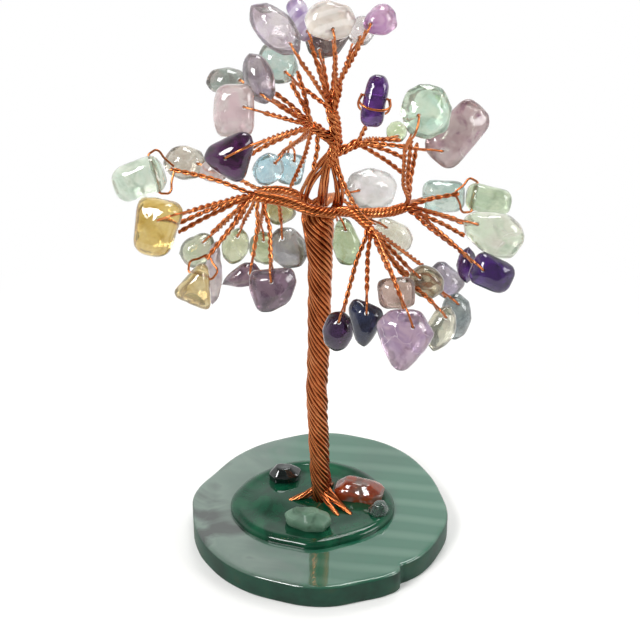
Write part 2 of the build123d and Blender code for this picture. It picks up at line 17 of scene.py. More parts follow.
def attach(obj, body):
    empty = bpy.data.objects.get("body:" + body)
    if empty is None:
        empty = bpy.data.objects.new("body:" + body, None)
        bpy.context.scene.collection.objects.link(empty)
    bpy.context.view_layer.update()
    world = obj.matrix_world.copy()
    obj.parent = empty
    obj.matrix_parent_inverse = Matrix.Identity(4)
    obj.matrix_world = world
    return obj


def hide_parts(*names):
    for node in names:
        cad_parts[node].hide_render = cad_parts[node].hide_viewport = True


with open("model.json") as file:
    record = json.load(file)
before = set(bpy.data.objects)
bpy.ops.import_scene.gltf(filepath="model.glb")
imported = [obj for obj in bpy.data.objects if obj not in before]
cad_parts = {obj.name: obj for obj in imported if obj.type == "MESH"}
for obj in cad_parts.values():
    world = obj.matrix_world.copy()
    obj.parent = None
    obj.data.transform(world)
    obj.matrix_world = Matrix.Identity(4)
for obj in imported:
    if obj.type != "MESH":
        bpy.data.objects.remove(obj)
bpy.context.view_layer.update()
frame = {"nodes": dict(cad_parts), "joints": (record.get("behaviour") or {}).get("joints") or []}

MM = 0.001
UP = Vector((0, 0, 1))
SHARP_ANGLE = 55

# %% [markdown]
# ## Small helpers
# Colours are written as sRGB hex values, as a picker shows them, and turned to linear light by one
# function. One function adds any node, sets its properties and fills or links its inputs. Where
# the inputs are a list, they are in the node's own order: a Map Range node takes the value, the range it
# comes from and the range it goes to.

# %% Helpers for colours, nodes and meshes
def colour(code):
    """The linear colour of an sRGB hex value."""
    channels = [int(code[i:i + 2], 16) / 255 for i in (1, 3, 5)]
    return [c / 12.92 if c <= 0.04045 else ((c + 0.055) / 1.055) ** 2.4 for c in channels] + [1.0]


def node(tree, kind, inputs=(), stops=(), **settings):
    """Add a node with its settings and links.

    The kind is a node's type, or an operation in capitals for a Math node. An input takes a value, an output,
    or a node, which gives its first output. A colour ramp's stops are pairs of a position and a hex colour.
    """
    if kind.isupper():
        settings["operation"] = kind
        kind = "ShaderNodeMath"
    made = tree.nodes.new(kind)
    for name, value in settings.items():
        setattr(made, name, value)
    for key, value in (inputs.items() if isinstance(inputs, dict) else enumerate(inputs)):
        if isinstance(value, bpy.types.Node):
            value = next(output for output in value.outputs if output.enabled)
        if isinstance(value, bpy.types.NodeSocket):
            tree.links.new(value, made.inputs[key])
        else:
            made.inputs[key].default_value = value
    for _ in stops[2:]:
        made.color_ramp.elements.new(0.5)
    for element, (position, code) in zip(made.color_ramp.elements if stops else (), stops):
        element.position = position
        element.color = colour(code)
    return made


def new_material(name):
    """An empty material, a function that adds nodes to it, and the coordinates of the piece."""
    material = bpy.data.materials.new(name)
    material.use_nodes = True
    material.node_tree.nodes.clear()
    add = partial(node, material.node_tree)
    return material, add, add("ShaderNodeTexCoord").outputs["Object"]


def new_object(name, data):
    """Link a mesh, curve, lamp or camera into the scene as an object at the origin."""
    made = bpy.data.objects.new(name, data)
    bpy.context.scene.collection.objects.link(made)
    return made


def baked(source, name):
    """The evaluated shape of an object as a plain mesh object; the source goes."""
    bpy.context.view_layer.update()
    graph = bpy.context.evaluated_depsgraph_get()
    mesh = bpy.data.meshes.new_from_object(source.evaluated_get(graph), depsgraph=graph)
    old = source.data
    bpy.data.objects.remove(source)
    if old.users == 0:
        (bpy.data.curves if isinstance(old, bpy.types.Curve) else bpy.data.meshes).remove(old)
    mesh.name = name
    return new_object(name, mesh)


def finish_piece(piece, body, replaced, material=None):
    """Give a piece its material and the body it rides on, and hide the CAD nodes it stands for."""
    if material:
        piece.data.materials.clear()
        piece.data.materials.append(material)
    piece.data.polygons.foreach_set("use_smooth", [True] * len(piece.data.polygons))
    piece.data.set_sharp_from_angle(angle=math.radians(SHARP_ANGLE))
    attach(piece, body)
    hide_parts(*replaced)


# %% [markdown]
# ## Camera
# The photograph looks down on the ornament from a little over head height of the tree, with a long lens:
# the slice shows as a flat ellipse, and the trunk hardly tapers from perspective.

# %% Camera
CAMERA_PLACE = Vector((-0.4, -381.0, 298.0)) * MM
CAMERA_PITCH = math.radians(32.2)
CAMERA_LENS = 111.0
NEAREST_SEEN = 10 * MM

camera_data = bpy.data.cameras.new("camera")
camera_data.lens = CAMERA_LENS
camera_data.clip_start = NEAREST_SEEN
camera = new_object("camera", camera_data)
camera.location = CAMERA_PLACE
camera.rotation_euler = (math.pi / 2 - CAMERA_PITCH, 0, 0)
bpy.context.scene.camera = camera
print("camera", [round(c, 3) for c in camera.location], "lens", CAMERA_LENS)

# %% [markdown]
# ## Floor, world and lamps
# A product shot on white: a wide paper floor and a white sweep behind the object, with a dimmer room in
# front of it and a dimmer ceiling. That change of brightness matters, because polished stone and metal only
# look polished when they mirror it. What the camera sees of floor and world is plain white, and the floor
# keeps the shadow.

# %% Floor
FLOOR_SIZE = 4.0
FLOOR_WHITE = "#F4F4F2"
FLOOR_GLOW = 0.16
SHADOW_REACH = 50 * MM

floor_mesh = bpy.data.meshes.new("floor")
half = FLOOR_SIZE / 2
corners = [(-half, -half, 0), (half, -half, 0), (half, half, 0), (-half, half, 0)]
floor_mesh.from_pydata(corners, [], [(0, 1, 2, 3)])
floor = new_object("floor", floor_mesh)
sheet, add, place = new_material("white paper sweep")
paper = add("ShaderNodeBsdfDiffuse", {"Color": colour(FLOOR_WHITE)})
glow = add("ShaderNodeEmission", {"Color": colour("#FFFFFF"), "Strength": 1.0})
rays = add("ShaderNodeLightPath").outputs
seen = add("MAXIMUM", [rays["Is Camera Ray"], rays["Is Glossy Ray"]])
seen = add("MAXIMUM", [seen, rays["Is Transmission Ray"]])
away = add("ShaderNodeVectorMath", [place], operation="LENGTH")
amount = add("ShaderNodeMapRange", [away, SHADOW_REACH, 3 * SHADOW_REACH, FLOOR_GLOW],
             interpolation_type="SMOOTHSTEP")
mixed = add("ShaderNodeMixShader", [add("MULTIPLY", [seen, amount]), paper, glow])
add("ShaderNodeOutputMaterial", {"Surface": mixed})
floor.data.materials.append(sheet)
print("floor", FLOOR_SIZE, "m wide")

# %% World
SWEEP_WHITE = 1.0
ROOM_GREY = 0.24
CEILING_GREY = 0.3

world = bpy.data.worlds.new("studio")
bpy.context.scene.world = world
world.use_nodes = True
world.node_tree.nodes.clear()
add = partial(node, world.node_tree)
parts = add("ShaderNodeSeparateXYZ", [add("ShaderNodeTexCoord").outputs["Generated"]]).outputs
# A range of the direction is mapped to the brightness at its two ends.
sweep = add("ShaderNodeMapRange", [parts["Y"], -0.75, 0.1, ROOM_GREY, SWEEP_WHITE],
            interpolation_type="SMOOTHSTEP")
ceiling = add("ShaderNodeMapRange", [parts["Z"], 0.58, 0.84, 1.0, CEILING_GREY],
              interpolation_type="SMOOTHSTEP")
lit = add("ShaderNodeBackground", {"Color": colour("#FFFFFF"), "Strength": add("MULTIPLY", [sweep, ceiling])})
clear = add("ShaderNodeBackground", {"Color": colour("#FFFFFF"), "Strength": 1.0})
mixed = add("ShaderNodeMixShader", [add("ShaderNodeLightPath").outputs["Is Camera Ray"], lit, clear])
add("ShaderNodeOutputWorld", {"Surface": mixed})
bpy.context.scene.view_settings.view_transform = "Standard"
print("sweep, room and ceiling", SWEEP_WHITE, ROOM_GREY, CEILING_GREY)

# %% Soft boxes
def soft_box(name, place, target, size, watts):
    """An area lamp that faces a point."""
    lamp = bpy.data.lights.new(name, "AREA")
    lamp.shape = "SQUARE"
    lamp.size = size
    lamp.energy = watts
    made = new_object(name, lamp)
    made.location = place
    made.rotation_euler = (Vector(target) - Vector(place)).to_track_quat("-Z", "Y").to_euler()


CROWN_MIDDLE = (0, 0, 95 * MM)
# Lamp: its place and width in metres, and its watts.
lamps = {
    "key from upper left": ((-0.38, -0.42, 0.62), 0.28, 4.6),
    "fill from the right": ((0.62, -0.20, 0.42), 0.35, 2.0),
    "rim from behind": ((0.15, 0.40, 0.90), 0.36, 3.4),
}
for name, (place, width, watts) in lamps.items():
    soft_box(name, place, CROWN_MIDDLE, width, watts)
print("soft boxes", len(lamps))

# %% [markdown]
# ## Copper craft wire
# Soft copper wire is drawn through a die, so it is smooth along its length, and it darkens where fingers
# and air reach it. A metal has no colour of its own under the shine: its base colour is the colour of its
# mirror image. Three coppers mixed by a broad noise give the slightly uneven tone of handled wire, and a
# brown mixed in below the crown makes the copper darker towards the bottom.

# %% Copper material
WIRE = 0.58 * MM
TARNISH_SIZE = 6 * MM
# Heights between which the brown that darkens the lower copper fades out.
DARKENED_BELOW_LEVELS = (70 * MM, 96 * MM)
# Real drawing marks are finer than a picture shows, so they are drawn this coarse.
DRAW_MARK = 0.25 * MM
DRAW_DEPTH = 0.02 * MM

copper, add, place = new_material("drawn copper wire")
cloud = add("ShaderNodeTexNoise", {"Vector": place, "Scale": 1 / TARNISH_SIZE, "Detail": 3.0})
tone = add("ShaderNodeValToRGB", [cloud], stops=[(0.3, "#AC6236"), (0.5, "#C87846"), (0.72, "#DC925E")])
level = add("ShaderNodeSeparateXYZ", [place]).outputs["Z"]
# Below 96 mm a brown is mixed in, most of it below 70 mm, so the copper is darker towards the bottom.
darkened_below = add("ShaderNodeMapRange", [level, *DARKENED_BELOW_LEVELS, 0.62])
tone = add("ShaderNodeMix", {"Factor": darkened_below, "A": colour("#8E4A2C"), "B": tone}, data_type="RGBA")
marks = add("ShaderNodeTexNoise", {"Vector": place, "Scale": 1 / DRAW_MARK, "Detail": 2.0})
rough = add("ShaderNodeMapRange", {"Value": marks, "To Min": 0.16, "To Max": 0.3})
bump = add("ShaderNodeBump", {"Height": marks, "Strength": 0.08, "Distance": DRAW_DEPTH})
add("ShaderNodeOutputMaterial", {"Surface": add("ShaderNodeBsdfPrincipled", {
    "Base Color": tone, "Metallic": 1.0, "Roughness": rough, "Normal": bump})})
print("copper ready, wire", WIRE / MM, "mm")

# %% [markdown]
# ## Laying wires round each other
# A twisted pair, a rope of pairs and the trunk follow one rule: strands run round a middle line, one turn
# in each pitch. A rope is laid twice: wires round the middle of a strand, and strands round the middle of
# the rope. Geometry Nodes write this rule once. The curve gives the middle line, and its point radius the
# distance of the strands from it, so one tree serves every thickness. Hand-laid wire isn't even: each
# strand sits a little higher or lower than its neighbour, and wanders along its way.

# %% A node tree that lays strands round a curve
DRIFT_SIZE = 5 * MM
rope_inputs = {
    "Geometry": "Geometry", "Wire": "Float", "Strands": "Int", "Wires in a strand": "Int", "Pitch": "Float",
    "Strand pitch": "Float", "Strand spread": "Float", "Step": "Float", "Uneven": "Float", "Wander": "Float",
    "Sides": "Int", "Seed": "Int", "Material": "Material",
}


def rope_tree():
    """Strands of wire round each spline of a curve."""
    tree = bpy.data.node_groups.new("laid strands", "GeometryNodeTree")
    tree.interface.new_socket("Geometry", in_out="OUTPUT", socket_type="NodeSocketGeometry")
    for name, kind in rope_inputs.items():
        tree.interface.new_socket(name, in_out="INPUT", socket_type="NodeSocket" + kind)
    add = partial(node, tree)
    given = add("NodeGroupInput").outputs
    full = 2 * math.pi

    # Copies of each path, one for each wire, with the numbers of the path, the strand and the wire.
    spaced = add("GeometryNodeResampleCurve", {"Curve": given["Geometry"], "Length": given["Step"]},
                 mode="LENGTH")
    total = add("MULTIPLY", [given["Strands"], given["Wires in a strand"]])
    copies = add("GeometryNodeDuplicateElements", {"Geometry": spaced, "Amount": total}, domain="SPLINE")
    wire = copies.outputs["Duplicate Index"]
    strand = add("FLOOR", [add("DIVIDE", [add("ADD", [wire, 0.5]), given["Wires in a strand"]])])
    copy = add("GeometryNodeCurveOfPoint").outputs["Curve Index"]
    path = add("FLOOR", [add("DIVIDE", [add("ADD", [copy, 0.5]), total])])

    # The strand's angle on the rope, and the wire's angle on the strand.
    run = add("GeometryNodeSplineParameter").outputs["Length"]
    ring_share = add("MULTIPLY", [add("DIVIDE", [strand, given["Strands"]]), full])
    ring_turn = add("MULTIPLY", [add("DIVIDE", [run, given["Pitch"]]), full])
    ring_angle = add("ADD", [add("ADD", [ring_share, ring_turn]), add("MULTIPLY", [path, 1.9])])
    pair_share = add("MULTIPLY", [add("DIVIDE", [wire, given["Wires in a strand"]]), full])
    pair_turn = add("MULTIPLY", [add("DIVIDE", [run, given["Strand pitch"]]), full])
    pair_start = add("MULTIPLY", [add("ADD", [strand, path]), 1.3])
    pair_angle = add("ADD", [add("ADD", [pair_share, pair_turn]), pair_start])

    # The strand's distance from the path, which is a little uneven.
    luck = add("FunctionNodeRandomValue", {"ID": copy, "Seed": given["Seed"]}, data_type="FLOAT")
    uneven = add("MULTIPLY", [add("SUBTRACT", [luck.outputs[1], 0.5]), given["Uneven"]])
    reach = add("ADD", [add("GeometryNodeInputRadius"), uneven])
    normal = add("GeometryNodeInputNormal").outputs["Normal"]
    across = add("ShaderNodeVectorMath", [add("GeometryNodeInputTangent"), normal], operation="CROSS_PRODUCT")

    def ring_place(angle, distance):
        """A point on a ring square to the path."""
        sides = []
        for way, part in ((normal, "COSINE"), (across, "SINE")):
            scale = add("MULTIPLY", [distance, add(part, [angle])])
            sides.append(add("ShaderNodeVectorMath", {0: way, "Scale": scale}, operation="SCALE"))
        return add("ShaderNodeVectorMath", sides, operation="ADD")

    places = [ring_place(ring_angle, reach), ring_place(pair_angle, given["Strand spread"])]
    own_place = add("ADD", [add("MULTIPLY", [copy, 7.3]), given["Seed"]])
    drift = add("ShaderNodeTexNoise", {
        "Vector": add("GeometryNodeInputPosition"), "W": own_place, "Scale": 1 / DRIFT_SIZE, "Detail": 1.0},
        noise_dimensions="4D")
    drift = add("ShaderNodeVectorMath", [drift.outputs["Color"], (0.5, 0.5, 0.5)], operation="SUBTRACT")
    drift = add("ShaderNodeVectorMath", {0: drift, "Scale": given["Wander"]}, operation="SCALE")
    offset = add("ShaderNodeVectorMath", [add("ShaderNodeVectorMath", places, operation="ADD"), drift],
                 operation="ADD")
    moved = add("GeometryNodeSetPosition", {"Geometry": copies, "Offset": offset})

    plain = add("GeometryNodeSetCurveRadius", {"Curve": moved, "Radius": 1.0})
    ring = add("GeometryNodeCurvePrimitiveCircle", {
        "Resolution": given["Sides"], "Radius": add("DIVIDE", [given["Wire"], 2.0])})
    wires = add("GeometryNodeCurveToMesh", {"Curve": plain, "Profile Curve": ring, "Fill Caps": True})
    real = add("GeometryNodeRealizeInstances", {"Geometry": wires})
    painted = add("GeometryNodeSetMaterial", {"Geometry": real, "Material": given["Material"]})
    add("NodeGroupOutput", [painted])
    return tree


LAID_STRANDS = rope_tree()
print("node tree", LAID_STRANDS.name, "with", len(LAID_STRANDS.nodes), "nodes")

# %% Curves and the modifier
PAIR_PITCH = -3.7 * MM
PAIR_SPREAD = 0.28 * MM
# A single strand keeps to its path, so its turn in a whole metre doesn't show.
STRAIGHT = -1.0


def smooth_curve(name, paths):
    """One curve object with a smooth spline for each path of (point, strand distance)."""
    data = bpy.data.curves.new(name, "CURVE")
    data.dimensions = "3D"
    data.resolution_u = 8
    for path in paths:
        spline = data.splines.new("BEZIER")
        spline.bezier_points.add(len(path) - 1)
        for handle, (point, distance) in zip(spline.bezier_points, path):
            handle.co = point
            handle.radius = distance
            handle.handle_left_type = handle.handle_right_type = "AUTO"
    return new_object(name, data)


def laid(name, paths, strands=1, pitch=STRAIGHT, wires=1, wire=WIRE, spread=0.0, step=0.35, uneven=0.0,
         wander=0.0, sides=8, seed=0):
    """A mesh of strands laid round the paths. Step, uneven and wander are in mm.

    A negative pitch runs from upper left to lower right.
    """
    source = smooth_curve(name + "_path", paths)
    modifier = source.modifiers.new("laid strands", "NODES")
    modifier.node_group = LAID_STRANDS
    values = {"Wire": wire, "Strands": strands, "Wires in a strand": wires, "Pitch": pitch,
              "Strand pitch": PAIR_PITCH, "Strand spread": spread, "Step": step * MM, "Uneven": uneven * MM,
              "Wander": wander * MM, "Sides": sides, "Seed": seed, "Material": copper}
    for item in LAID_STRANDS.interface.items_tree:
        if item.in_out == "INPUT" and item.name in values:
            modifier[item.identifier] = values[item.name]
    return baked(source, name)


def joined(name, pieces):
    """One mesh object from several."""
    whole = bmesh.new()
    for piece in pieces:
        whole.from_mesh(piece.data)
        bpy.data.objects.remove(piece)
    bmesh.ops.recalc_face_normals(whole, faces=whole.faces)
    mesh = bpy.data.meshes.new(name)
    whole.to_mesh(mesh)
    whole.free()
    mesh.materials.append(copper)
    return new_object(name, mesh)


print("copper lay functions ready")

# %% [markdown]
# ## Trunk
# Wires from every twig gather in the trunk. Seen close, the trunk is a tapering rope: 15 thick strands lie
# round it, they make one turn in 23 mm, so they lie flatter where it is thick, and a dark groove lies
# between each and the next. Under the outer layer lie a second one and a thick heart, so no gap shows
# through. It could be one twisted column, but the grooves of such a column stay shallow and look carved.
# Just below the fork the strands turn inwards and close the end, and the bundles begin among them.

# %% Trunk strands
FORK = Vector((0, 0, 88.0)) * MM
SLICE_TOP = 6.0 * MM
TRUNK_RADIUS = 2.45 * MM
TRUNK_PITCH = -23.0 * MM
TRUNK_WIRE = 0.78 * MM
OUTER_WIRES = 15
HEART_WIRES = 7
INNER_INSET = 0.7 * MM
HEART_INSET = 1.1 * MM
LEAST_DISTANCE = 0.05 * MM
# Height, half width and lean, as shares of the fork's height, the trunk's radius and the radius.
trunk_profile_shares = [
    (0.0, 1.1, 0.0), (0.05, 0.97, 0.0), (0.2, 0.95, -0.25), (0.4, 0.98, -0.42), (0.55, 1.02, -0.3),
    (0.7, 1.05, -0.15), (0.82, 1.12, -0.18), (0.92, 1.34, -0.25), (0.962, 1.5, -0.3), (0.98, 1.38, -0.25),
    (0.987, 1.0, -0.1), (0.984, 0.6, 0.0),
]


def trunk_path(inset):
    """The trunk's middle line, with the strands' distance from it."""
    path = []
    for height, half_width, lean in trunk_profile_shares:
        level = SLICE_TOP + (FORK.z - SLICE_TOP) * height
        distance = max(half_width * TRUNK_RADIUS - TRUNK_WIRE / 2 - inset, LEAST_DISTANCE)
        path.append((Vector((lean * TRUNK_RADIUS, 0, level)), distance))
    return path


outer = laid("trunk_outer", [trunk_path(0)], OUTER_WIRES, TRUNK_PITCH, wire=TRUNK_WIRE, uneven=0.45,
             wander=0.7, step=0.5, sides=10)
inner = laid("trunk_inner", [trunk_path(INNER_INSET)], OUTER_WIRES, TRUNK_PITCH, wire=TRUNK_WIRE, step=0.7,
             seed=5)
heart = laid("trunk_heart", [trunk_path(HEART_INSET)], HEART_WIRES, TRUNK_PITCH, wire=2 * WIRE, step=1.0,
             sides=6)
trunk = joined("trunk_wires", [outer, inner, heart])
finish_piece(trunk, "stand", ["trunk"])
print("trunk faces", len(trunk.data.polygons))

# %% [markdown]
# ## Roots
# At the foot the wires splay out over the slice in four small claws and disappear in the resin.

# %% Root wires
ROOT_REACH = 8.0 * MM
ROOT_RISE = 3.4 * MM
ROOT_WIRE = 0.62 * MM
ROOT_PITCH = -16 * MM
# Each root: number of wires, then points as shares of reach and rise, and the wires' distance there in mm.
root_shares = [
    (5, [(-0.06, -0.02, 1.4, 0.7), (-0.4, -0.06, 0.86, 0.62), (-1.0, -0.14, 0.34, 0.2)]),
    (6, [(0.08, -0.08, 1.5, 0.8), (0.36, -0.34, 0.9, 0.66), (0.88, -0.8, 0.34, 0.2)]),
    (4, [(0.0, -0.12, 1.2, 0.6), (0.18, -0.44, 0.8, 0.5), (0.5, -0.86, 0.34, 0.2)]),
    (4, [(0.03, 0.1, 1.2, 0.6), (0.2, 0.42, 0.8, 0.5), (0.34, 0.74, 0.34, 0.2)]),
]
claws = []
for count, row in root_shares:
    path = []
    for x, y, z, distance in row:
        path.append((Vector((x * ROOT_REACH, y * ROOT_REACH, SLICE_TOP + z * ROOT_RISE)), distance * MM))
    claws.append(laid("root", [path], count, ROOT_PITCH, wire=ROOT_WIRE, uneven=0.1, wander=0.2,
                      seed=len(claws)))
roots = joined("root_wires", claws)
finish_piece(roots, "stand", ["roots"])
print("roots", len(root_shares))

# %% [markdown]
# ## Bundles
# From the fork a few bundles of wire lead to each group of twigs. Their middle lines are the CAD model's,
# as shares of the crown's span, measured from the fork. A bundle that carries twigs is a tight rope; the
# four that rise from the fork to the leader stay loose, like a little cage.

# %% Bundle table
CROWN_SPAN = 90.0 * MM
# Bundle: CAD node, strands, wires in a strand, distance from the middle and pitch in mm, points.
bundle_shares = {
    "leader": ("branch_leader", 6, 2, 0.9, -13,
               [(0.018, 0, 0.112), (0.034, 0, 0.17), (0.03, 0, 0.225), (0.022, 0, 0.258)]),
    "crest": ("branch_leader", 5, 2, 0.76, -12,
               [(0.03, 0, 0.172), (0.002, -0.006, 0.2), (-0.022, -0.011, 0.22)]),
    "top_right": ("branch_leader", 4, 2, 0.55, -11, [(0.02, 0, 0.24), (0.034, 0, 0.29), (0.04, 0, 0.325)]),
    "cage_left": ("branch_leader", 7, 1, 0.85, -60,
               [(-0.022, 0, -0.03), (-0.044, -0.01, 0.012), (-0.03, -0.006, 0.065), (0.006, 0, 0.118),
                (0.024, 0, 0.15)]),
    "cage_front": ("branch_leader", 5, 1, 0.6, -60,
               [(-0.004, -0.01, -0.03), (0.0, -0.02, 0.04), (0.012, -0.01, 0.11), (0.028, 0, 0.15)]),
    "cage_back": ("branch_leader", 4, 1, 0.5, -60,
               [(0.004, 0.02, -0.03), (0.011, 0.02, 0.06), (0.02, 0.006, 0.122), (0.03, 0, 0.15)]),
    "cage_right": ("branch_leader", 7, 1, 0.8, -60,
               [(0.02, 0, -0.03), (0.04, -0.01, 0.01), (0.042, -0.006, 0.06), (0.03, 0, 0.12),
                (0.032, 0, 0.15)]),
    "upper_right": ("branch_upper_right", 4, 2, 0.58, -10,
               [(0.024, 0, 0.138), (0.07, 0, 0.16), (0.086, -0.003, 0.17)]),
    "left": ("branch_left", 7, 1, 0.9, -7.5,
               [(0.032, -0.035, -0.004), (-0.02, -0.05, 0.012), (-0.08, -0.052, 0.036),
                (-0.164, -0.047, 0.052)]),
    "left_back": ("branch_left", 6, 1, 0.7, -6.5,
               [(-0.02, 0.012, -0.01), (-0.08, 0.045, 0.012), (-0.148, 0.067, 0.004)]),
    "right": ("branch_right", 7, 1, 0.84, -6.0,
               [(0.024, -0.01, -0.01), (0.1, -0.012, -0.016), (0.17, -0.003, -0.016), (0.202, 0, -0.008)]),
    "lower_right": ("branch_lower_right", 8, 1, 0.84, -8,
               [(0.03, -0.022, -0.006), (0.075, -0.055, 0.008), (0.116, -0.082, -0.014)]),
    "lower_pair": ("branch_lower_right", 1, 2, 0.0, -8,
               [(0.034, -0.004, 0.118), (0.064, -0.036, 0.05), (0.1, -0.068, 0.0)]),
    "back": ("branch_back", 8, 1, 0.84, -8,
               [(0.0, 0.02, -0.01), (0.02, 0.09, -0.03), (0.042, 0.136, -0.052)]),
}
# Pairs that end behind other chips: bundle, share along it, end from the fork, and bow.
bare_pair_shares = [
    ("crest", 1.0, (-0.058, 0.05, 0.335), 0.03),
    ("crest", 0.97, (-0.073, 0.012, 0.322), 0.04),
    ("leader", 1.0, (0.034, 0.1, 0.372), 0.0),
    ("leader", 1.0, (-0.009, 0.1, 0.336), 0.0),
    ("crest", 0.98, (-0.112, 0.03, 0.288), 0.04),
    ("crest", 0.8, (-0.077, 0.111, -0.01), 0.0),
    ("crest", 0.62, (-0.021, -0.044, 0.12), 0.0),
    ("upper_right", 0.98, (0.19, 0.05, 0.152), 0.05),
    ("upper_right", 1.0, (0.197, 0.012, 0.124), 0.05),
    ("upper_right", 0.9, (0.2, 0.035, 0.068), 0.05),
    ("right", 1.0, (0.213, -0.026, 0.186), -0.03),
    ("right", 1.0, (0.232, 0.055, 0.142), -0.04),
    ("right", 1.0, (0.357, -0.035, -0.036), 0.04),
    ("right", 0.97, (0.352, 0.0, -0.086), 0.04),
    ("left", 1.0, (-0.345, -0.111, 0.01), 0.03),
    ("left", 0.97, (-0.346, -0.089, -0.026), 0.03),
    ("left", 0.94, (-0.27, -0.02, -0.068), 0.05),
]
bundle_paths = {name: [FORK + Vector(share) * CROWN_SPAN for share in row[5]]
                for name, row in bundle_shares.items()}


def along(points, share):
    """The point at a share of a path's length."""
    lengths = [(b - a).length for a, b in zip(points, points[1:])]
    left = share * sum(lengths)
    for a, b, length in zip(points, points[1:], lengths):
        if left <= length:
            return a.lerp(b, left / length)
        left -= length
    return points[-1].copy()


print("bundles", len(bundle_paths))
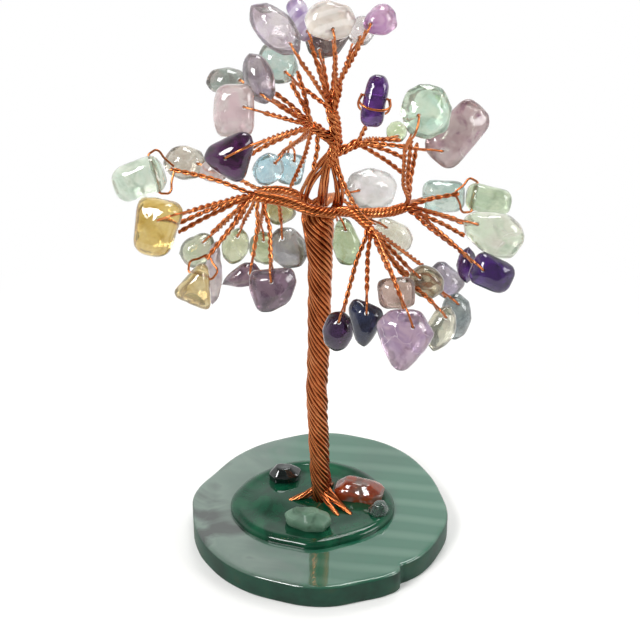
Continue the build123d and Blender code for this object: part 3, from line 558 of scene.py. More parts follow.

# %% [markdown]
# ## Chips: where each one hangs and what it is
# Each chip hangs on the loop of its own twisted pair. The hole's centre and direction come from the joint
# in the frame. The table adds the bundle that the twig leaves, how far along it, and the twig's bow, and
# then the stone: its kind and its body, shadow, veil and second colour.

# %% Chip table
# Chip: bundle, share along it, bow, kind of stone, and body, shadow, veil and second colour.
chips = {
    "top_rose_leaf": ("leader", 1.0, 0.03, "clear", "#E0D8D8 #B2A2A8 #FAF8F6 #D2C2D4"),
    "top_lavender_bar": ("leader", 0.99, 0.0, "banded", "#C6B4CE #9076AA #F0EAF2 #A88AC2"),
    "top_cream_band": ("top_right", 0.7, 0.0, "banded", "#E8E0D6 #B8A8A6 #FCF8F2 #DCCCBC"),
    "top_smoky_shield": ("leader", 1.0, 0.0, "smoky", "#7D6B64 #54443E #B7A79E #5E4C50"),
    "top_clear_bead": ("top_right", 1.0, 0.0, "clear", "#E6E2DE #B8B0AC #FAFAF6 #E8D4D8"),
    "top_pink_violet": ("top_right", 1.0, 0.0, "quartz", "#D6B2CC #9A6A92 #F6E8F2 #AE74AE"),
    "crest_teal": ("leader", 0.95, 0.03, "clear", "#CED8CE #98A89E #EEF4EC #A8CCC4"),
    "crest_grey_oval": ("crest", 1.0, 0.0, "smoky", "#B0A6A8 #7C6E74 #DEDADA #A898AE"),
    "crest_grey_green": ("crest", 0.95, 0.03, "smoky", "#B0AAA4 #7E7872 #DEDCD6 #98A69C"),
    "crest_rose_slab": ("crest", 1.0, 0.0, "quartz", "#DACECB #AE9A98 #F4ECEA #DCC2C6"),
    "side_dark_heart": ("crest", 0.96, 0.02, "amethyst", "#40183E #180518 #84587C #5E2460"),
    "side_pale_rose": ("crest", 0.9, 0.05, "quartz", "#D2C6C2 #A8989A #F0EAE8 #C4B4B0"),
    "side_sky_blue": ("crest", 0.85, 0.0, "clear", "#D0E6EA #88B8C8 #F4FCFC #AED6E4"),
    "side_ice_blue": ("crest", 0.75, 0.0, "clear", "#DAEEF0 #9CCAD6 #F6FCFC #C0E2EA"),
    "upper_violet_column": ("upper_right", 0.95, 0.0, "amethyst", "#5A2C7A #2C1044 #A488BC #7C46A4"),
    "upper_small_green": ("upper_right", 1.0, 0.04, "clear", "#D8E6C0 #AEC492 #F2F8E6 #C6E0A8"),
    "upper_plum_long": ("upper_right", 1.0, 0.03, "mottled", "#BEA4A6 #8E6478 #F0E8E2 #CBBAB6"),
    "left_green_block": ("left", 0.95, 0.04, "clear", "#DEE6D6 #A4B49E #F8FAF2 #CADECC"),
    "left_yellow_tooth": ("left", 1.0, 0.02, "citrine", "#DEC680 #B6923A #F8EEC4 #D0B052"),
    "left_yellow_triangle": ("left", 0.98, 0.0, "citrine", "#D4BE84 #A68850 #F0E6C4 #E2D6AC"),
    "left_mauve_wing": ("left", 0.9, 0.0, "quartz", "#8C727C #5E4656 #B8A6B0 #9C8494"),
    "left_mauve_shield": ("left", 0.82, 0.0, "quartz", "#7C6672 #52394E #AC9AA8 #8C7284"),
    "left_clear_rough": ("left_back", 1.0, 0.03, "clear", "#D0CCBE #9C9686 #F6F4EE #C2B6A6"),
    "left_grey_green": ("left", 1.0, 0.0, "clear", "#C8CAB2 #9EA086 #EAECDC #B8C2A4"),
    "left_lavender_drop": ("left", 0.96, 0.0, "quartz", "#DED4D0 #B4A4A8 #F2ECEC #CCBCCC"),
    "left_leaf_green": ("left_back", 1.0, 0.0, "clear", "#CCD2AE #A0A67E #ECF0DA #DADCBA"),
    "left_back_green": ("left_back", 0.9, 0.0, "clear", "#C6CEA8 #9AA47C #E8ECD4 #D4D8B2"),
    "left_smoke_clear": ("left_back", 0.7, 0.0, "smoky", "#A8A69C #767064 #DAD8D0 #9C9AA0"),
    "left_back_lime": ("left_back", 0.8, 0.0, "clear", "#BEB88A #8E8654 #E0DCB6 #AAA66E"),
    "right_green_hexagon": ("right", 0.97, -0.04, "clear", "#D6E4CE #9EB49E #F8FCF4 #B8DCCC"),
    "right_pale_teal": ("right", 1.0, 0.03, "clear", "#D2DED4 #98B2A8 #F6FAF6 #B6D6D0"),
    "right_green_bar": ("right", 1.0, 0.04, "clear", "#CEDABE #9CAE8E #F2F6EA #BACEB0"),
    "right_green_long": ("right", 1.0, 0.02, "clear", "#DAE4CE #A8B6A0 #FAFBF6 #DED8CC"),
    "right_violet_narrow": ("right", 0.98, 0.0, "amethyst", "#4E2A62 #220C34 #8A6C9C #64388A"),
    "right_violet_wedge": ("right", 1.0, 0.03, "amethyst", "#3A1E58 #14072A #7A60A0 #542E84"),
    "lower_dark_plum": ("lower_right", 0.9, 0.0, "amethyst", "#261630 #0A0312 #54445E #40284C"),
    "lower_blue_black": ("lower_right", 0.95, 0.0, "amethyst", "#24263A #0B0C1A #565A70 #2E3654"),
    "lower_light_amethyst": ("lower_right", 1.0, 0.05, "mottled", "#C0A8B8 #886A80 #F2E8EE #A48AA8"),
    "lower_smoky_pink": ("lower_right", 0.97, 0.0, "clear", "#C0A89C #907466 #E4D6CE #CEB4A8"),
    "lower_green_smoke": ("lower_right", 0.97, 0.0, "smoky", "#AEA28A #786A50 #D8D0BE #BCB494"),
    "lower_lavender_grey": ("lower_right", 0.9, 0.0, "smoky", "#B0A8B0 #7C747C #DEDADE #B2A6C0"),
    "lower_pale_green": ("lower_right", 1.0, -0.09, "clear", "#CCCAB8 #9C968A #F2F0E8 #D4D2BC"),
    "lower_grey_blue": ("lower_right", 0.94, -0.12, "smoky", "#98A09E #6A7070 #D0D6D4 #889CA2"),
    "back_green_pear": ("back", 0.9, 0.0, "clear", "#BECCA6 #92A47C #E2EACE #ACC49A"),
    "back_white_oval": ("back", 1.0, 0.02, "quartz", "#F2F0EC #DCDAD6 #FFFFFF #ECE8EA"),
    "back_clear_drop": ("back", 1.0, 0.0, "clear", "#E8E4D6 #CAC4B0 #F8F8F0 #DEDCC4"),
}
holes = {joint["name"][5:]: joint for joint in frame["joints"]}
missing = sorted(set(holes) ^ set(chips))
print("chips", len(chips), "holes without a row or the reverse:", missing)

# %% [markdown]
# ## Twigs and loops
# A twig is one wire folded through a chip and twisted back on itself, so it is always a pair. Near the chip
# the two halves part and make an open loop through the hole. The twig starts inside its bundle, so that it
# seems to grow out of the rope, and it runs in a gentle curve. The loop is a single wire with soft bends.

# %% Twig and loop paths
LOOP_WIRE = 0.52 * MM
LOOP_AIR = 0.4 * MM
SHOULDER_AIR = 0.35 * MM
SHOULDER_BOW = 0.1 * MM
HOLE_LIP = 0.12 * MM
HOLE_WALL = 0.7 * MM
HOLE_STEP = 1.0 * MM
CROTCH_AIR = 1.3 * MM
CROTCH_OVERRUN = 0.9 * MM
WRAP_BACK = 0.6 * MM
TWIG_BACK = 0.14
TWIG_LOOK = 0.05
BESIDE = 0.2 * MM
# A loop whose crotch stands aside of its chip, and a chip with one more turn of wire round the front.
SWINGS = {"right_green_hexagon": -2.2 * MM}
WRAPPED = ("upper_violet_column",)


def chip_reach(mesh, middle, direction):
    """How far a chip's corners reach from its hole in a direction."""
    return max((vertex.co - middle).dot(direction) for vertex in mesh.vertices)


def wall_reach(mesh, middle, axis):
    """How far a chip's faces near its hole reach along the hole, ahead and behind."""
    offsets = [vertex.co - middle for vertex in mesh.vertices]
    levels = [offset.dot(axis) for offset in offsets if offset.cross(axis).length < HOLE_WALL]
    return max(levels), -min(levels)


def twig_run(bundle, share, finish, bow):
    """A twig's middle line: along its bundle, out of it, and in a gentle curve to its end."""
    points = bundle_paths[bundle]
    start = along(points, share)
    reach = finish - start
    heading = (along(points, min(share + TWIG_LOOK, 1.0)) - along(points, share - TWIG_LOOK)).normalized()
    side = (reach - heading * reach.dot(heading)).normalized() * BESIDE
    bend = start + reach * 0.5 + UP * (bow * reach.length)
    return [along(points, max(0.0, share - TWIG_BACK)) + side, start + side, bend, finish]


def loop_half(middle, axis, heading, wall, edge, crotch, aside):
    """One side of a loop, from the crotch over the shoulder into the hole."""
    face = middle + axis * (wall + LOOP_AIR + LOOP_WIRE / 2)
    shoulder = heading * (edge + SHOULDER_AIR)
    return [
        crotch - heading * CROTCH_OVERRUN + axis * PAIR_SPREAD,
        crotch.lerp(face - shoulder, 0.55) + aside * 0.3,
        face - shoulder * 0.75 + axis * SHOULDER_BOW + aside * 0.3,
        face - heading * HOLE_STEP,
        middle + axis * (wall + HOLE_LIP),
        middle + axis * (wall * 0.4),
    ]


def wrap_path(mesh, middle, axis, heading, top, low):
    """A turn of wire round the front of a chip, from one end of its hole to the other."""
    front = (Vector((0, -1, 0)) + axis * axis.y).normalized()
    out = chip_reach(mesh, middle, front) + LOOP_AIR + WIRE / 2
    side = front * (out * 0.7) - heading * WRAP_BACK
    return [top, top + side, middle + front * out - heading * HOLE_STEP, low + side, low]


def plan_twig(name):
    """The middle lines of a chip's twig and loop."""
    bundle, share, bow = chips[name][:3]
    middle = Vector(holes[name]["pos_m"])
    axis = Vector(holes[name]["axis"]).normalized()
    mesh = frame["nodes"]["gem_" + name].data
    heading = middle - along(bundle_paths[bundle], share)
    heading = (heading - axis * heading.dot(axis)).normalized()
    ahead, behind = wall_reach(mesh, middle, axis)
    top = middle + axis * (ahead + LOOP_AIR + LOOP_WIRE / 2)
    low = middle - axis * (behind + LOOP_AIR + LOOP_WIRE / 2)
    edge = chip_reach(mesh, middle, -heading)
    aside = axis.cross(heading).normalized()
    aside *= SWINGS.get(name, 0.0) * (1 if aside.x > 0 else -1)
    crotch = (top + low) / 2 - heading * (edge + CROTCH_AIR) + aside
    there = loop_half(middle, axis, heading, ahead, edge, crotch, aside)
    back = loop_half(middle, -axis, heading, behind, edge, crotch, aside)
    wires = [there + back[::-1]]
    if name in WRAPPED:
        wires.append(wrap_path(mesh, middle, axis, heading, top, low))
    return bundle_shares[bundle][0], twig_run(bundle, share, crotch, bow), wires


plans = [plan_twig(name) for name in chips]
bare_pairs = [(bundle_shares[bundle][0], twig_run(bundle, share, FORK + Vector(finish) * CROWN_SPAN, bow))
              for bundle, share, finish, bow in bare_pair_shares]
print("twigs", len(plans), "bare pairs", len(bare_pairs))

# %% Copper crown, one mesh for each CAD branch
ROPE_WIRE = 0.68 * MM
CAGE_SHARES = (0.6, 0.25)
MIDDLE = 0.01 * MM
# In mm, as the distances in the bundle table.
FILLED_FROM = 0.7
FILLER_INSET = 0.32


def bundle_ropes(name, seed):
    """A bundle's strands, and a plain wire in the middle of a thick one."""
    strands, wires, distance, pitch = bundle_shares[name][1:5]
    cage = name.startswith("cage")
    path = [(point, distance * MM) for point in bundle_paths[name]]
    if cage:
        path[0] = (path[0][0], path[0][1] * CAGE_SHARES[0])
        path[-1] = (path[-1][0], path[-1][1] * CAGE_SHARES[1])
    wire = ROPE_WIRE if wires == 1 and not cage else WIRE
    rope = laid(name, [path], strands, pitch * MM, wires=wires, wire=wire, step=0.3, uneven=0.15, seed=seed,
                spread=PAIR_SPREAD if wires == 2 else 0.0, wander=0.5 if cage else 0.15)
    if cage or distance <= FILLED_FROM:
        return [rope]
    filler = [(point, MIDDLE) for point in bundle_paths[name]]
    return [rope, laid(name + "_heart", [filler], wire=2 * (distance - FILLER_INSET) * MM, step=1.0)]


for branch in sorted({row[0] for row in bundle_shares.values()}):
    pieces = []
    for name, row in bundle_shares.items():
        if row[0] == branch:
            pieces += bundle_ropes(name, len(pieces))
    own = [plan for plan in plans if plan[0] == branch]
    runs = [twig for owner, twig, wires in own] + [run for owner, run in bare_pairs if owner == branch]
    twigs = [[(point, 0.0) for point in run] for run in runs]
    loops = [[(point, 0.0) for point in wire] for owner, twig, wires in own for wire in wires]
    pieces.append(laid(branch + "_twigs", twigs, wires=2, spread=PAIR_SPREAD, step=0.28, wander=0.12))
    pieces.append(laid(branch + "_loops", loops, wire=LOOP_WIRE, step=0.25))
    crown = joined(branch + "_wires", pieces)
    finish_piece(crown, "stand", [branch])
    print(branch, "twigs", len(runs), "faces", len(crown.data.polygons))

# %% [markdown]
# ## Tumbled chips
# A tumbler rounds every edge of a broken chip but leaves its broad faces nearly flat, with a few shallow
# dents. The corners of the CAD chip give a hull, a voxel remesh gives it an even net of small faces, a
# smooth rounds the edges, it is stretched back to its full size, and a slow noise presses the dents in. The
# hole is drilled last, where the CAD joint says, because a drill comes after the tumbler and leaves a crisp
# rim.

# %% Chip shapes
CHIP_VOXEL = 0.3 * MM
CHIP_ROUNDS = 64
TUMBLED_SIZE = 7 * MM
CHIP_SWELL = 1.04
CHIP_FILL = 0.985
DENT_SIZE = 4.2 * MM
DENT_DEPTH = 0.34 * MM
HOLE_RADIUS = 0.5 * MM
DRILL_LENGTH = 24 * MM
SAME_CORNER = 0.01 * MM


def face_outward(mesh):
    """Turn the faces of a closed mesh outward, so that cuts and dents go the right way."""
    shape = bmesh.new()
    shape.from_mesh(mesh)
    if shape.calc_volume(signed=True) < 0:
        bmesh.ops.reverse_faces(shape, faces=shape.faces)
    shape.to_mesh(mesh)
    shape.free()


def hull_of(source, name):
    """The convex hull of a CAD stone's corners, a little swollen against the smoothing."""
    corners = [vertex.co.copy() for vertex in source.data.vertices]
    middle = sum(corners, Vector()) / len(corners)
    shape = bmesh.new()
    for corner in corners:
        shape.verts.new(middle + (corner - middle) * CHIP_SWELL)
    bmesh.ops.remove_doubles(shape, verts=shape.verts, dist=SAME_CORNER)
    made = bmesh.ops.convex_hull(shape, input=shape.verts)
    spare = set(made["geom_interior"] + made["geom_unused"])
    bmesh.ops.delete(shape, geom=[item for item in spare if isinstance(item, bmesh.types.BMVert)],
                     context="VERTS")
    bmesh.ops.recalc_face_normals(shape, faces=shape.faces)
    mesh = bpy.data.meshes.new(name)
    shape.to_mesh(mesh)
    shape.free()
    face_outward(mesh)
    return new_object(name + "_rough", mesh)


def box_of(mesh):
    """The low and high corner of a mesh."""
    spots = [vertex.co for vertex in mesh.vertices]
    return [Vector([pick(spot[k] for spot in spots) for k in range(3)]) for pick in (min, max)]


def tumbled(source, name, rounds, seed):
    """A rounded, slightly dented copy of a CAD stone, undrilled."""
    stone = hull_of(source, name)
    remesh = stone.modifiers.new("even net", "REMESH")
    remesh.mode = "VOXEL"
    remesh.voxel_size = CHIP_VOXEL
    smooth = stone.modifiers.new("tumbling", "SMOOTH")
    low, high = box_of(source.data)
    # A large stone needs more rounds than a small one for the same roundness.
    smooth.iterations = round(rounds * min(3.0, max(0.4, (sum(high - low) / 3 / TUMBLED_SIZE) ** 2)))
    smooth.factor = 0.5
    stone = baked(stone, name)
    face_outward(stone.data)
    got_low, got_high = box_of(stone.data)
    for vertex in stone.data.vertices:
        for k in range(3):
            share = (vertex.co[k] - got_low[k]) / (got_high[k] - got_low[k]) - 0.5
            vertex.co[k] = (low[k] + high[k]) / 2 + share * CHIP_FILL * (high[k] - low[k])
    stone.data.update()
    shift = Vector((seed * 3.1, seed * 1.7, seed * 0.9))
    for vertex in stone.data.vertices:
        spot = vertex.co / DENT_SIZE
        dent = noise.noise(spot + shift) + 0.35 * noise.noise(spot * 2.7 + shift)
        if dent > 0:
            vertex.co -= vertex.normal * (dent * DENT_DEPTH)
    return stone


def drilled(stone, name, middle, axis):
    """The stone with a round hole through a point along an axis."""
    shape = bmesh.new()
    turn = UP.rotation_difference(axis).to_matrix().to_4x4()
    bmesh.ops.create_cone(shape, cap_ends=True, segments=20, radius1=HOLE_RADIUS, radius2=HOLE_RADIUS,
                          depth=DRILL_LENGTH, matrix=Matrix.Translation(middle) @ turn)
    mesh = bpy.data.meshes.new("drill")
    shape.to_mesh(mesh)
    shape.free()
    drill = new_object("drill", mesh)
    cut = stone.modifiers.new("drilling", "BOOLEAN")
    cut.operation = "DIFFERENCE"
    cut.solver = "MANIFOLD"
    cut.object = drill
    stone = baked(stone, name)
    bpy.data.objects.remove(drill)
    face_outward(stone.data)
    return stone


print("stone maker ready, voxel mm", CHIP_VOXEL / MM)

# %% [markdown]
# ## Stones that let light in
# Quartz, amethyst, citrine and fluorite are clear crystals, so light enters, bends and comes out elsewhere.
# Here the shader sends most light through and scatters the rest, as the milky veils of real chips do. A
# cloud noise mixes body and shadow colour, a second cloud adds patches of another colour, and a ridged
# noise draws thin pale veils, the healed cracks of the stone. Banded stones get straight growth bands as
# well. The haze inside is apart from the polish outside: the body blurs what shines through, and a coat
# gives the sharp bright highlights with fine tumbling marks.

# %% Gem materials
# Kind: transmission, refractive index, inner haze, scatter, and strength of veil, bands and second colour.
stone_kinds = {
    "clear": (0.84, 1.47, 0.07, 0.6, 0.9, 0.0, 0.8),
    "quartz": (0.68, 1.5, 0.1, 0.7, 0.9, 0.0, 0.8),
    "banded": (0.64, 1.47, 0.1, 0.6, 0.4, 0.6, 0.6),
    "mottled": (0.68, 1.5, 0.09, 0.6, 1.0, 0.0, 1.0),
    "smoky": (0.8, 1.5, 0.08, 0.4, 0.8, 0.0, 0.8),
    "amethyst": (0.68, 1.52, 0.07, 0.0, 0.5, 0.0, 0.9),
    "citrine": (0.86, 1.5, 0.06, 0.3, 0.5, 0.0, 0.7),
    "rough": (0.2, 1.4, 0.5, 0.6, 0.6, 0.0, 0.8),
}
CLOUD_SIZE = 4.0 * MM
PATCH_SIZE = 5.0 * MM
CRACK_SIZE = 7.0 * MM
CRACK_BEND = 0.005
VEIL_SIZE = 2.2 * MM
BAND_SIZE = 2.6 * MM
LIGHT_DEPTH = (3.0 * MM, 2.6 * MM, 2.6 * MM)
# Real tumbling marks are too fine to show, so they are drawn this coarse.
POLISH_MARK = 0.5 * MM
MARK_DEPTH = 0.04 * MM
# At a scale of 1 the bands of a wave texture lie this far apart.
WAVE_STEP = 0.314
# Each stone shows another place of the pattern.
PATTERN_SHIFT = Vector((13, 7, 11)) * MM
PATTERN_TURN = Vector((0.9, 1.3, 0.4))


def gem_material(name, kind, colours, seed):
    """A translucent tumbled stone."""
    clearness, index, haze, scatter, veil_part, band_part, second_part = stone_kinds[kind]
    body, shadow, veil, second = colours.split()
    material, add, place = new_material("tumbled " + kind + " " + name)

    def layer(below, code, factor, low, high, strength):
        """A colour laid over another where a factor lies between low and high."""
        part = add("ShaderNodeMapRange", [factor, low, high, 0.0, strength])
        mixed = add("ShaderNodeMix", {"Factor": part, "A": below, "B": colour(code)}, data_type="RGBA")
        return mixed, part

    moved = add("ShaderNodeMapping", {
        "Vector": place, "Location": PATTERN_SHIFT * seed, "Rotation": PATTERN_TURN * seed})
    cloud = add("ShaderNodeTexNoise", {
        "Vector": moved, "Scale": 1 / CLOUD_SIZE, "Detail": 3.0, "Distortion": 0.6})
    patch = add("ShaderNodeTexNoise", {
        "Vector": moved, "Scale": 1 / PATCH_SIZE, "Detail": 2.0, "Distortion": 1.0})
    base = add("ShaderNodeValToRGB", [cloud], stops=[(0.36, shadow), (0.5, body), (0.8, body)])
    base, _ = layer(base, second, patch, 0.48, 0.62, second_part)
    if band_part:
        bands = add("ShaderNodeTexWave", {
            "Vector": moved, "Scale": WAVE_STEP / BAND_SIZE, "Distortion": 1.5, "Detail": 2.0,
            "Detail Scale": 1.2})
        base, _ = layer(base, veil, bands.outputs["Fac"], 0.45, 0.8, band_part)
    ridges = add("ShaderNodeTexNoise", {
        "Vector": moved, "Scale": 1 / VEIL_SIZE, "Detail": 4.0, "Roughness": 0.6, "Distortion": 1.2},
        noise_type="RIDGED_MULTIFRACTAL")
    base, thin = layer(base, veil, ridges, 0.62, 0.85, veil_part)

    # Cracks are the thin walls between cells, bent by the cloud, and only where the patches are.
    bent = add("ShaderNodeMix", {"Factor": CRACK_BEND, "A": moved, "B": cloud.outputs["Color"]},
               data_type="VECTOR")
    walls = add("ShaderNodeTexVoronoi", {"Vector": bent, "Scale": 1 / CRACK_SIZE}, feature="DISTANCE_TO_EDGE")
    line = add("ShaderNodeMapRange", [walls.outputs["Distance"], 0.0, 0.02, 1.0, 0.0])
    here = add("ShaderNodeMapRange", [patch, 0.52, 0.64, 0.0, veil_part])
    base = add("ShaderNodeMix", {"Factor": add("MULTIPLY", [line, here]), "A": base, "B": colour(veil)},
               data_type="RGBA")

    marks = add("ShaderNodeTexNoise", {"Vector": moved, "Scale": 1 / POLISH_MARK, "Detail": 3.0})
    shader = add("ShaderNodeBsdfPrincipled", {
        "Base Color": base, "Roughness": haze, "IOR": index,
        "Transmission Weight": add("MULTIPLY_ADD", [thin, -0.5, clearness]),
        "Subsurface Weight": scatter, "Subsurface Radius": LIGHT_DEPTH, "Subsurface Scale": 1.0,
        "Coat Weight": 0.15 if kind == "rough" else 1.0, "Coat IOR": 1.35 if kind == "amethyst" else 1.45,
        "Coat Roughness": add("ShaderNodeMapRange", [marks, 0.35, 0.75, 0.02, 0.09]),
        "Coat Normal": add("ShaderNodeBump", {"Height": marks, "Strength": 0.12, "Distance": MARK_DEPTH})})
    add("ShaderNodeOutputMaterial", {"Surface": shader})
    return material


print("stone kinds", ", ".join(stone_kinds))

# %% Chips on their bodies
for seed, (name, row) in enumerate(chips.items(), start=1):
    cad_name = "gem_" + name
    stone = tumbled(frame["nodes"][cad_name], name + "_whole", CHIP_ROUNDS, seed)
    middle, axis = Vector(holes[name]["pos_m"]), Vector(holes[name]["axis"]).normalized()
    stone = drilled(stone, name + "_stone", middle, axis)
    finish_piece(stone, cad_name + "_body", [cad_name], gem_material(name, *row[3:], seed))
print("chips made", len(chips))

# %% [markdown]
# ## Agate slice
# The slice is sawn, polished and dyed. The rim was left with the stone's natural outline and shows the
# deepest colour, because there the eye looks along the dyed layers. The top shows faint straight bands at
# the right, a cloudy grey patch at the left, partly the stone's own grey and partly painted reflection, and a
# purple-grey skin at the far left edge.

# %% Slice shape
SLICE_HALF = 30.75 * MM
SLICE_SHIFT = Vector((-0.5, -1.5, 0)) * MM
SLICE_ROUND = 0.7 * MM
FOOT_INSET = 6 * MM
TOP_INSETS = (1.6 * MM, 8 * MM)
ROUND_STEPS = 4
slice_outline_shares = [
    (-0.99, -0.07), (-0.99, 0.17), (-0.85, 0.43), (-0.61, 0.74), (-0.28, 0.93), (0.03, 1.0), (0.31, 0.95),
    (0.62, 0.79), (0.85, 0.49), (0.97, 0.14), (1.0, -0.12), (0.93, -0.36), (0.78, -0.61), (0.67, -0.7),
    (0.615, -0.735), (0.605, -0.79), (0.52, -0.86), (0.33, -0.93), (0.03, -1.0), (-0.34, -0.92),
    (-0.63, -0.77), (-0.86, -0.51), (-0.96, -0.28),
]


def closed_line(shares, half_x, half_y, shift):
    """A smooth closed line of points through an outline."""
    data = bpy.data.curves.new("outline", "CURVE")
    data.dimensions = "3D"
    data.resolution_u = 7
    spline = data.splines.new("BEZIER")
    spline.use_cyclic_u = True
    spline.bezier_points.add(len(shares) - 1)
    for handle, (x, y) in zip(spline.bezier_points, shares):
        handle.co = shift + Vector((x * half_x, y * half_y, 0))
        handle.handle_left_type = handle.handle_right_type = "AUTO"
    line = baked(new_object("outline", data), "outline")
    points = [vertex.co.copy() for vertex in line.data.vertices]
    bpy.data.objects.remove(line)
    return points


def ringed(name, rings, centre_top, centre_low):
    """A closed solid through rings of points, from the middle of the underside to the middle of the top."""
    shape = bmesh.new()
    rows = [[shape.verts.new(point) for point in ring] for ring in rings]
    low = shape.verts.new(centre_low)
    top = shape.verts.new(centre_top)
    count = len(rings[0])
    for i in range(count):
        j = (i + 1) % count
        shape.faces.new((low, rows[0][j], rows[0][i]))
        for a, b in zip(rows, rows[1:]):
            shape.faces.new((a[i], a[j], b[j], b[i]))
        shape.faces.new((rows[-1][i], rows[-1][j], top))
    bmesh.ops.recalc_face_normals(shape, faces=shape.faces)
    mesh = bpy.data.meshes.new(name)
    shape.to_mesh(mesh)
    shape.free()
    return new_object(name, mesh)


def ring_at(line, centre, level, inset, share=1.0):
    """The outline drawn in by an inset, then to a share of its size, at a level."""
    ring = []
    for point in line:
        out = point - centre
        ring.append(centre + out * ((out.length - inset) / out.length * share) + Vector((0, 0, level)))
    return ring


slice_line = closed_line(slice_outline_shares, SLICE_HALF, SLICE_HALF, SLICE_SHIFT)
rings = [ring_at(slice_line, SLICE_SHIFT, 0, FOOT_INSET)]
for low_edge in (True, False):
    for step in range(ROUND_STEPS + 1):
        turn = math.pi / 2 * (ROUND_STEPS - step if low_edge else step) / ROUND_STEPS
        rise = SLICE_ROUND * (1 - math.sin(turn))
        level = rise if low_edge else SLICE_TOP - rise
        rings.append(ring_at(slice_line, SLICE_SHIFT, level, SLICE_ROUND * (1 - math.cos(turn))))
rings += [ring_at(slice_line, SLICE_SHIFT, SLICE_TOP, inset) for inset in TOP_INSETS]
slab = ringed("agate_slab", rings, SLICE_SHIFT + UP * SLICE_TOP, SLICE_SHIFT)
print("slice rings", len(rings), "points round", len(slice_line))

# %% Agate material
# Over this span of x the top turns from a lighter grey at the left to green: partly the stone's own grey,
# partly painted reflection.
GREY_AND_REFLECTION_SIDE = (-26 * MM, 14 * MM)
AGATE_CLOUD = 14 * MM
AGATE_BAND = 6.5 * MM
RIM_STREAK = 7 * MM
FINE_POLISH = 1.2 * MM
RIM_LEVELS = (SLICE_TOP - 0.5 * MM, SLICE_TOP - 0.02 * MM)
AGATE_DEPTH = (1.5 * MM, 3 * MM, 2 * MM)

agate, add, place = new_material("polished dyed agate")
parts = add("ShaderNodeSeparateXYZ", [place]).outputs
cloud = add("ShaderNodeTexNoise", {
    "Vector": place, "Scale": 1 / AGATE_CLOUD, "Detail": 4.0, "Distortion": 0.8})
side = add("ShaderNodeMapRange", [parts["X"], *GREY_AND_REFLECTION_SIDE])
cloud = add("MULTIPLY_ADD", [add("SUBTRACT", [cloud, 0.5]), 0.9, side])
# The pale grey stop at the left is partly painted reflection, lighter than the stone's own grey.
top_tone = add("ShaderNodeValToRGB", [cloud], stops=[
    (0.0, "#24302A"), (0.12, "#5C7266"), (0.3, "#4A6256"), (0.6, "#245C46"), (1.0, "#0C5A40")])
turned = add("ShaderNodeMapping", {"Vector": place, "Rotation": (0, 0, math.radians(100))})
bands = add("ShaderNodeTexWave", {
    "Vector": turned, "Scale": WAVE_STEP / AGATE_BAND, "Distortion": 1.6, "Detail": 1.0, "Detail Scale": 0.7})
band_part = add("ShaderNodeMapRange", [bands.outputs["Fac"], 0.4, 1.0, 0.0, 0.4])
top_tone = add("ShaderNodeMix", {
    "Factor": add("MULTIPLY", [band_part, side]), "A": top_tone, "B": colour("#5F8370")}, data_type="RGBA")
streak = add("ShaderNodeTexNoise", {"Vector": place, "Scale": 1 / RIM_STREAK, "Detail": 3.0})
rim_tone = add("ShaderNodeValToRGB", [streak], stops=[(0.3, "#022518"), (0.55, "#083C2B"), (0.78, "#2A3C26")])
flat = add("ShaderNodeMapRange", [parts["Z"], *RIM_LEVELS])
tone = add("ShaderNodeMix", {"Factor": flat, "A": rim_tone, "B": top_tone}, data_type="RGBA")
fine = add("ShaderNodeTexNoise", {"Vector": place, "Scale": 1 / FINE_POLISH, "Detail": 2.0})
shine = add("ShaderNodeMapRange", {"Value": flat, "To Min": 0.08})
rough = add("ShaderNodeMapRange", {"Value": fine, "To Min": 0.02, "To Max": 0.06})
add("ShaderNodeOutputMaterial", {"Surface": add("ShaderNodeBsdfPrincipled", {
    "Base Color": tone, "Roughness": 0.5, "IOR": 1.3, "Subsurface Weight": 0.15,
    "Subsurface Radius": AGATE_DEPTH, "Subsurface Scale": 1.0,
    "Coat Weight": shine, "Coat IOR": 2.0, "Coat Roughness": rough})})
finish_piece(slab, "stand", ["base_slice"], agate)
print("agate ready")

# %% [markdown]
# ## Resin pool and loose chips
# Clear resin was poured round the trunk's foot over the dyed slice. It stands a little proud, with a
# rounded rim, sags where it is free, and climbs up the trunk and each stone that breaks its surface. It
# looks darker than the slice, because light that enters it is lost among stones and wire, so here a dark
# green with a glassy gloss stands for its depth.

# %% Resin shape
POOL_HALF_X = 19.75 * MM
POOL_HALF_Y = 17.0 * MM
POOL_SHIFT = Vector((-2.2, -1.6, 0)) * MM
POOL_FLOOR = SLICE_TOP + 0.01 * MM
POOL_TOP = SLICE_TOP + 1.8 * MM
POOL_ROUND = 1.1 * MM
POOL_INSET = 1.8 * POOL_ROUND
FLOOR_INSET = 0.05 * MM
POOL_SAG = 0.5 * MM
POOL_EDGE = 4 * MM
MOST_SWELL = 1.0 * MM
EDGE_RINGS = 6
TOP_RINGS = 26
EDGE_CHECK = 3
pool_outline_shares = [
    (-1.0, -0.02), (-0.9, 0.36), (-0.62, 0.74), (-0.17, 1.0), (0.42, 0.9), (0.78, 0.54), (1.0, -0.08),
    (0.82, -0.54), (0.34, -0.88), (0.0, -0.99), (-0.22, -0.93), (-0.63, -0.74), (-0.9, -0.4),
]
# Each swelling: place, radius and height in mm. First a free dome, then one at the trunk and each stone.
pebble_names = ("pebble_black_green", "pebble_orange_red", "pebble_light_green", "pebble_clear_white")
swells = [((-12.5, -1.0), 5.5, 0.8), ((0, 0), 3.1, 0.6)]
for name in pebble_names:
    low, high = box_of(frame["nodes"][name].data)
    middle = (low + high) / 2 / MM
    swells.append(((middle.x, middle.y), 0.45 * (high.x - low.x) / MM, 0.3))


def swell_at(point):
    """How far the resin stands up at a point."""
    total = 0.0
    for centre, radius, height in swells:
        away = (Vector((point.x, point.y)) - Vector(centre) * MM).length
        total += height * MM * math.exp(-(away / (radius * MM)) ** 2)
    return min(total, MOST_SWELL)


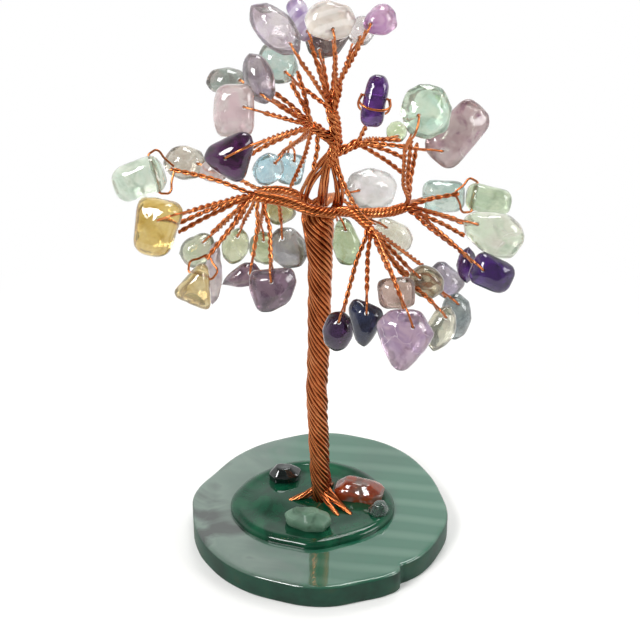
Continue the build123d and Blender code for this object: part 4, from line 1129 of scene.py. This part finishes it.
pool_line = closed_line(pool_outline_shares, POOL_HALF_X, POOL_HALF_Y, POOL_SHIFT)
pool_rings = [ring_at(pool_line, POOL_SHIFT, POOL_FLOOR, FLOOR_INSET)]
for step in range(EDGE_RINGS + 1):
    turn = math.pi / 2 * step / EDGE_RINGS
    level = POOL_TOP - POOL_ROUND * (1 - math.sin(turn))
    pool_rings.append(ring_at(pool_line, POOL_SHIFT, level, POOL_INSET * (1 - math.cos(turn))))
edge_points = pool_rings[-1][::EDGE_CHECK]
for step in range(1, TOP_RINGS):
    ring = ring_at(pool_line, POOL_SHIFT, POOL_TOP, POOL_INSET, 1 - step / TOP_RINGS)
    for point in ring:
        edge = min(1.0, min((point - other).length for other in edge_points) / POOL_EDGE)
        point.z += (swell_at(point) - POOL_SAG) * edge
    pool_rings.append(ring)
pool = ringed("resin_pool", pool_rings, POOL_SHIFT + UP * pool_rings[-1][0].z, POOL_SHIFT + UP * POOL_FLOOR)
print("resin rings", len(pool_rings))

# %% Resin material
SWIRL_SIZE = 9 * MM

resin, add, place = new_material("cast clear resin")
swirl = add("ShaderNodeTexNoise", {
    "Vector": place, "Scale": 1 / SWIRL_SIZE, "Detail": 3.0, "Distortion": 1.5})
tone = add("ShaderNodeValToRGB", [swirl], stops=[(0.3, "#05301F"), (0.55, "#0A4730"), (0.8, "#185C3C")])
add("ShaderNodeOutputMaterial", {"Surface": add("ShaderNodeBsdfPrincipled", {
    "Base Color": tone, "Roughness": 0.03, "IOR": 1.48, "Transmission Weight": 0.1})})
finish_piece(pool, "stand", ["base_resin"], resin)
print("resin ready")

# %% Loose chips in the resin
PEBBLE_ROUNDS = 8
PEBBLE_RISE = 1.28
# For each in turn: slot, kind of stone, and body, shadow, veil and second colour.
pebble_rows = [
    ("pebble_black", "amethyst", "#1C2A28 #060E0E #4E6260 #2A3C3A"),
    ("pebble_red", "mottled", "#CC5A2E #A8401F #B8A89C #A48478"),
    ("pebble_green", "rough", "#5C7E68 #38543F #94AE9C #70907A"),
    ("pebble_white", "clear", "#8CA49A #54786A #DCE8E4 #7C988C"),
]
for seed, (name, (slot, kind, colours)) in enumerate(zip(pebble_names, pebble_rows), start=60):
    stone = tumbled(frame["nodes"][name], name + "_stone", PEBBLE_ROUNDS, seed)
    foot = box_of(stone.data)[0].z
    for vertex in stone.data.vertices:
        vertex.co.z = foot + (vertex.co.z - foot) * PEBBLE_RISE
    finish_piece(stone, "stand", [name], gem_material(name, kind, colours, seed))
print("loose chips", len(pebble_names))
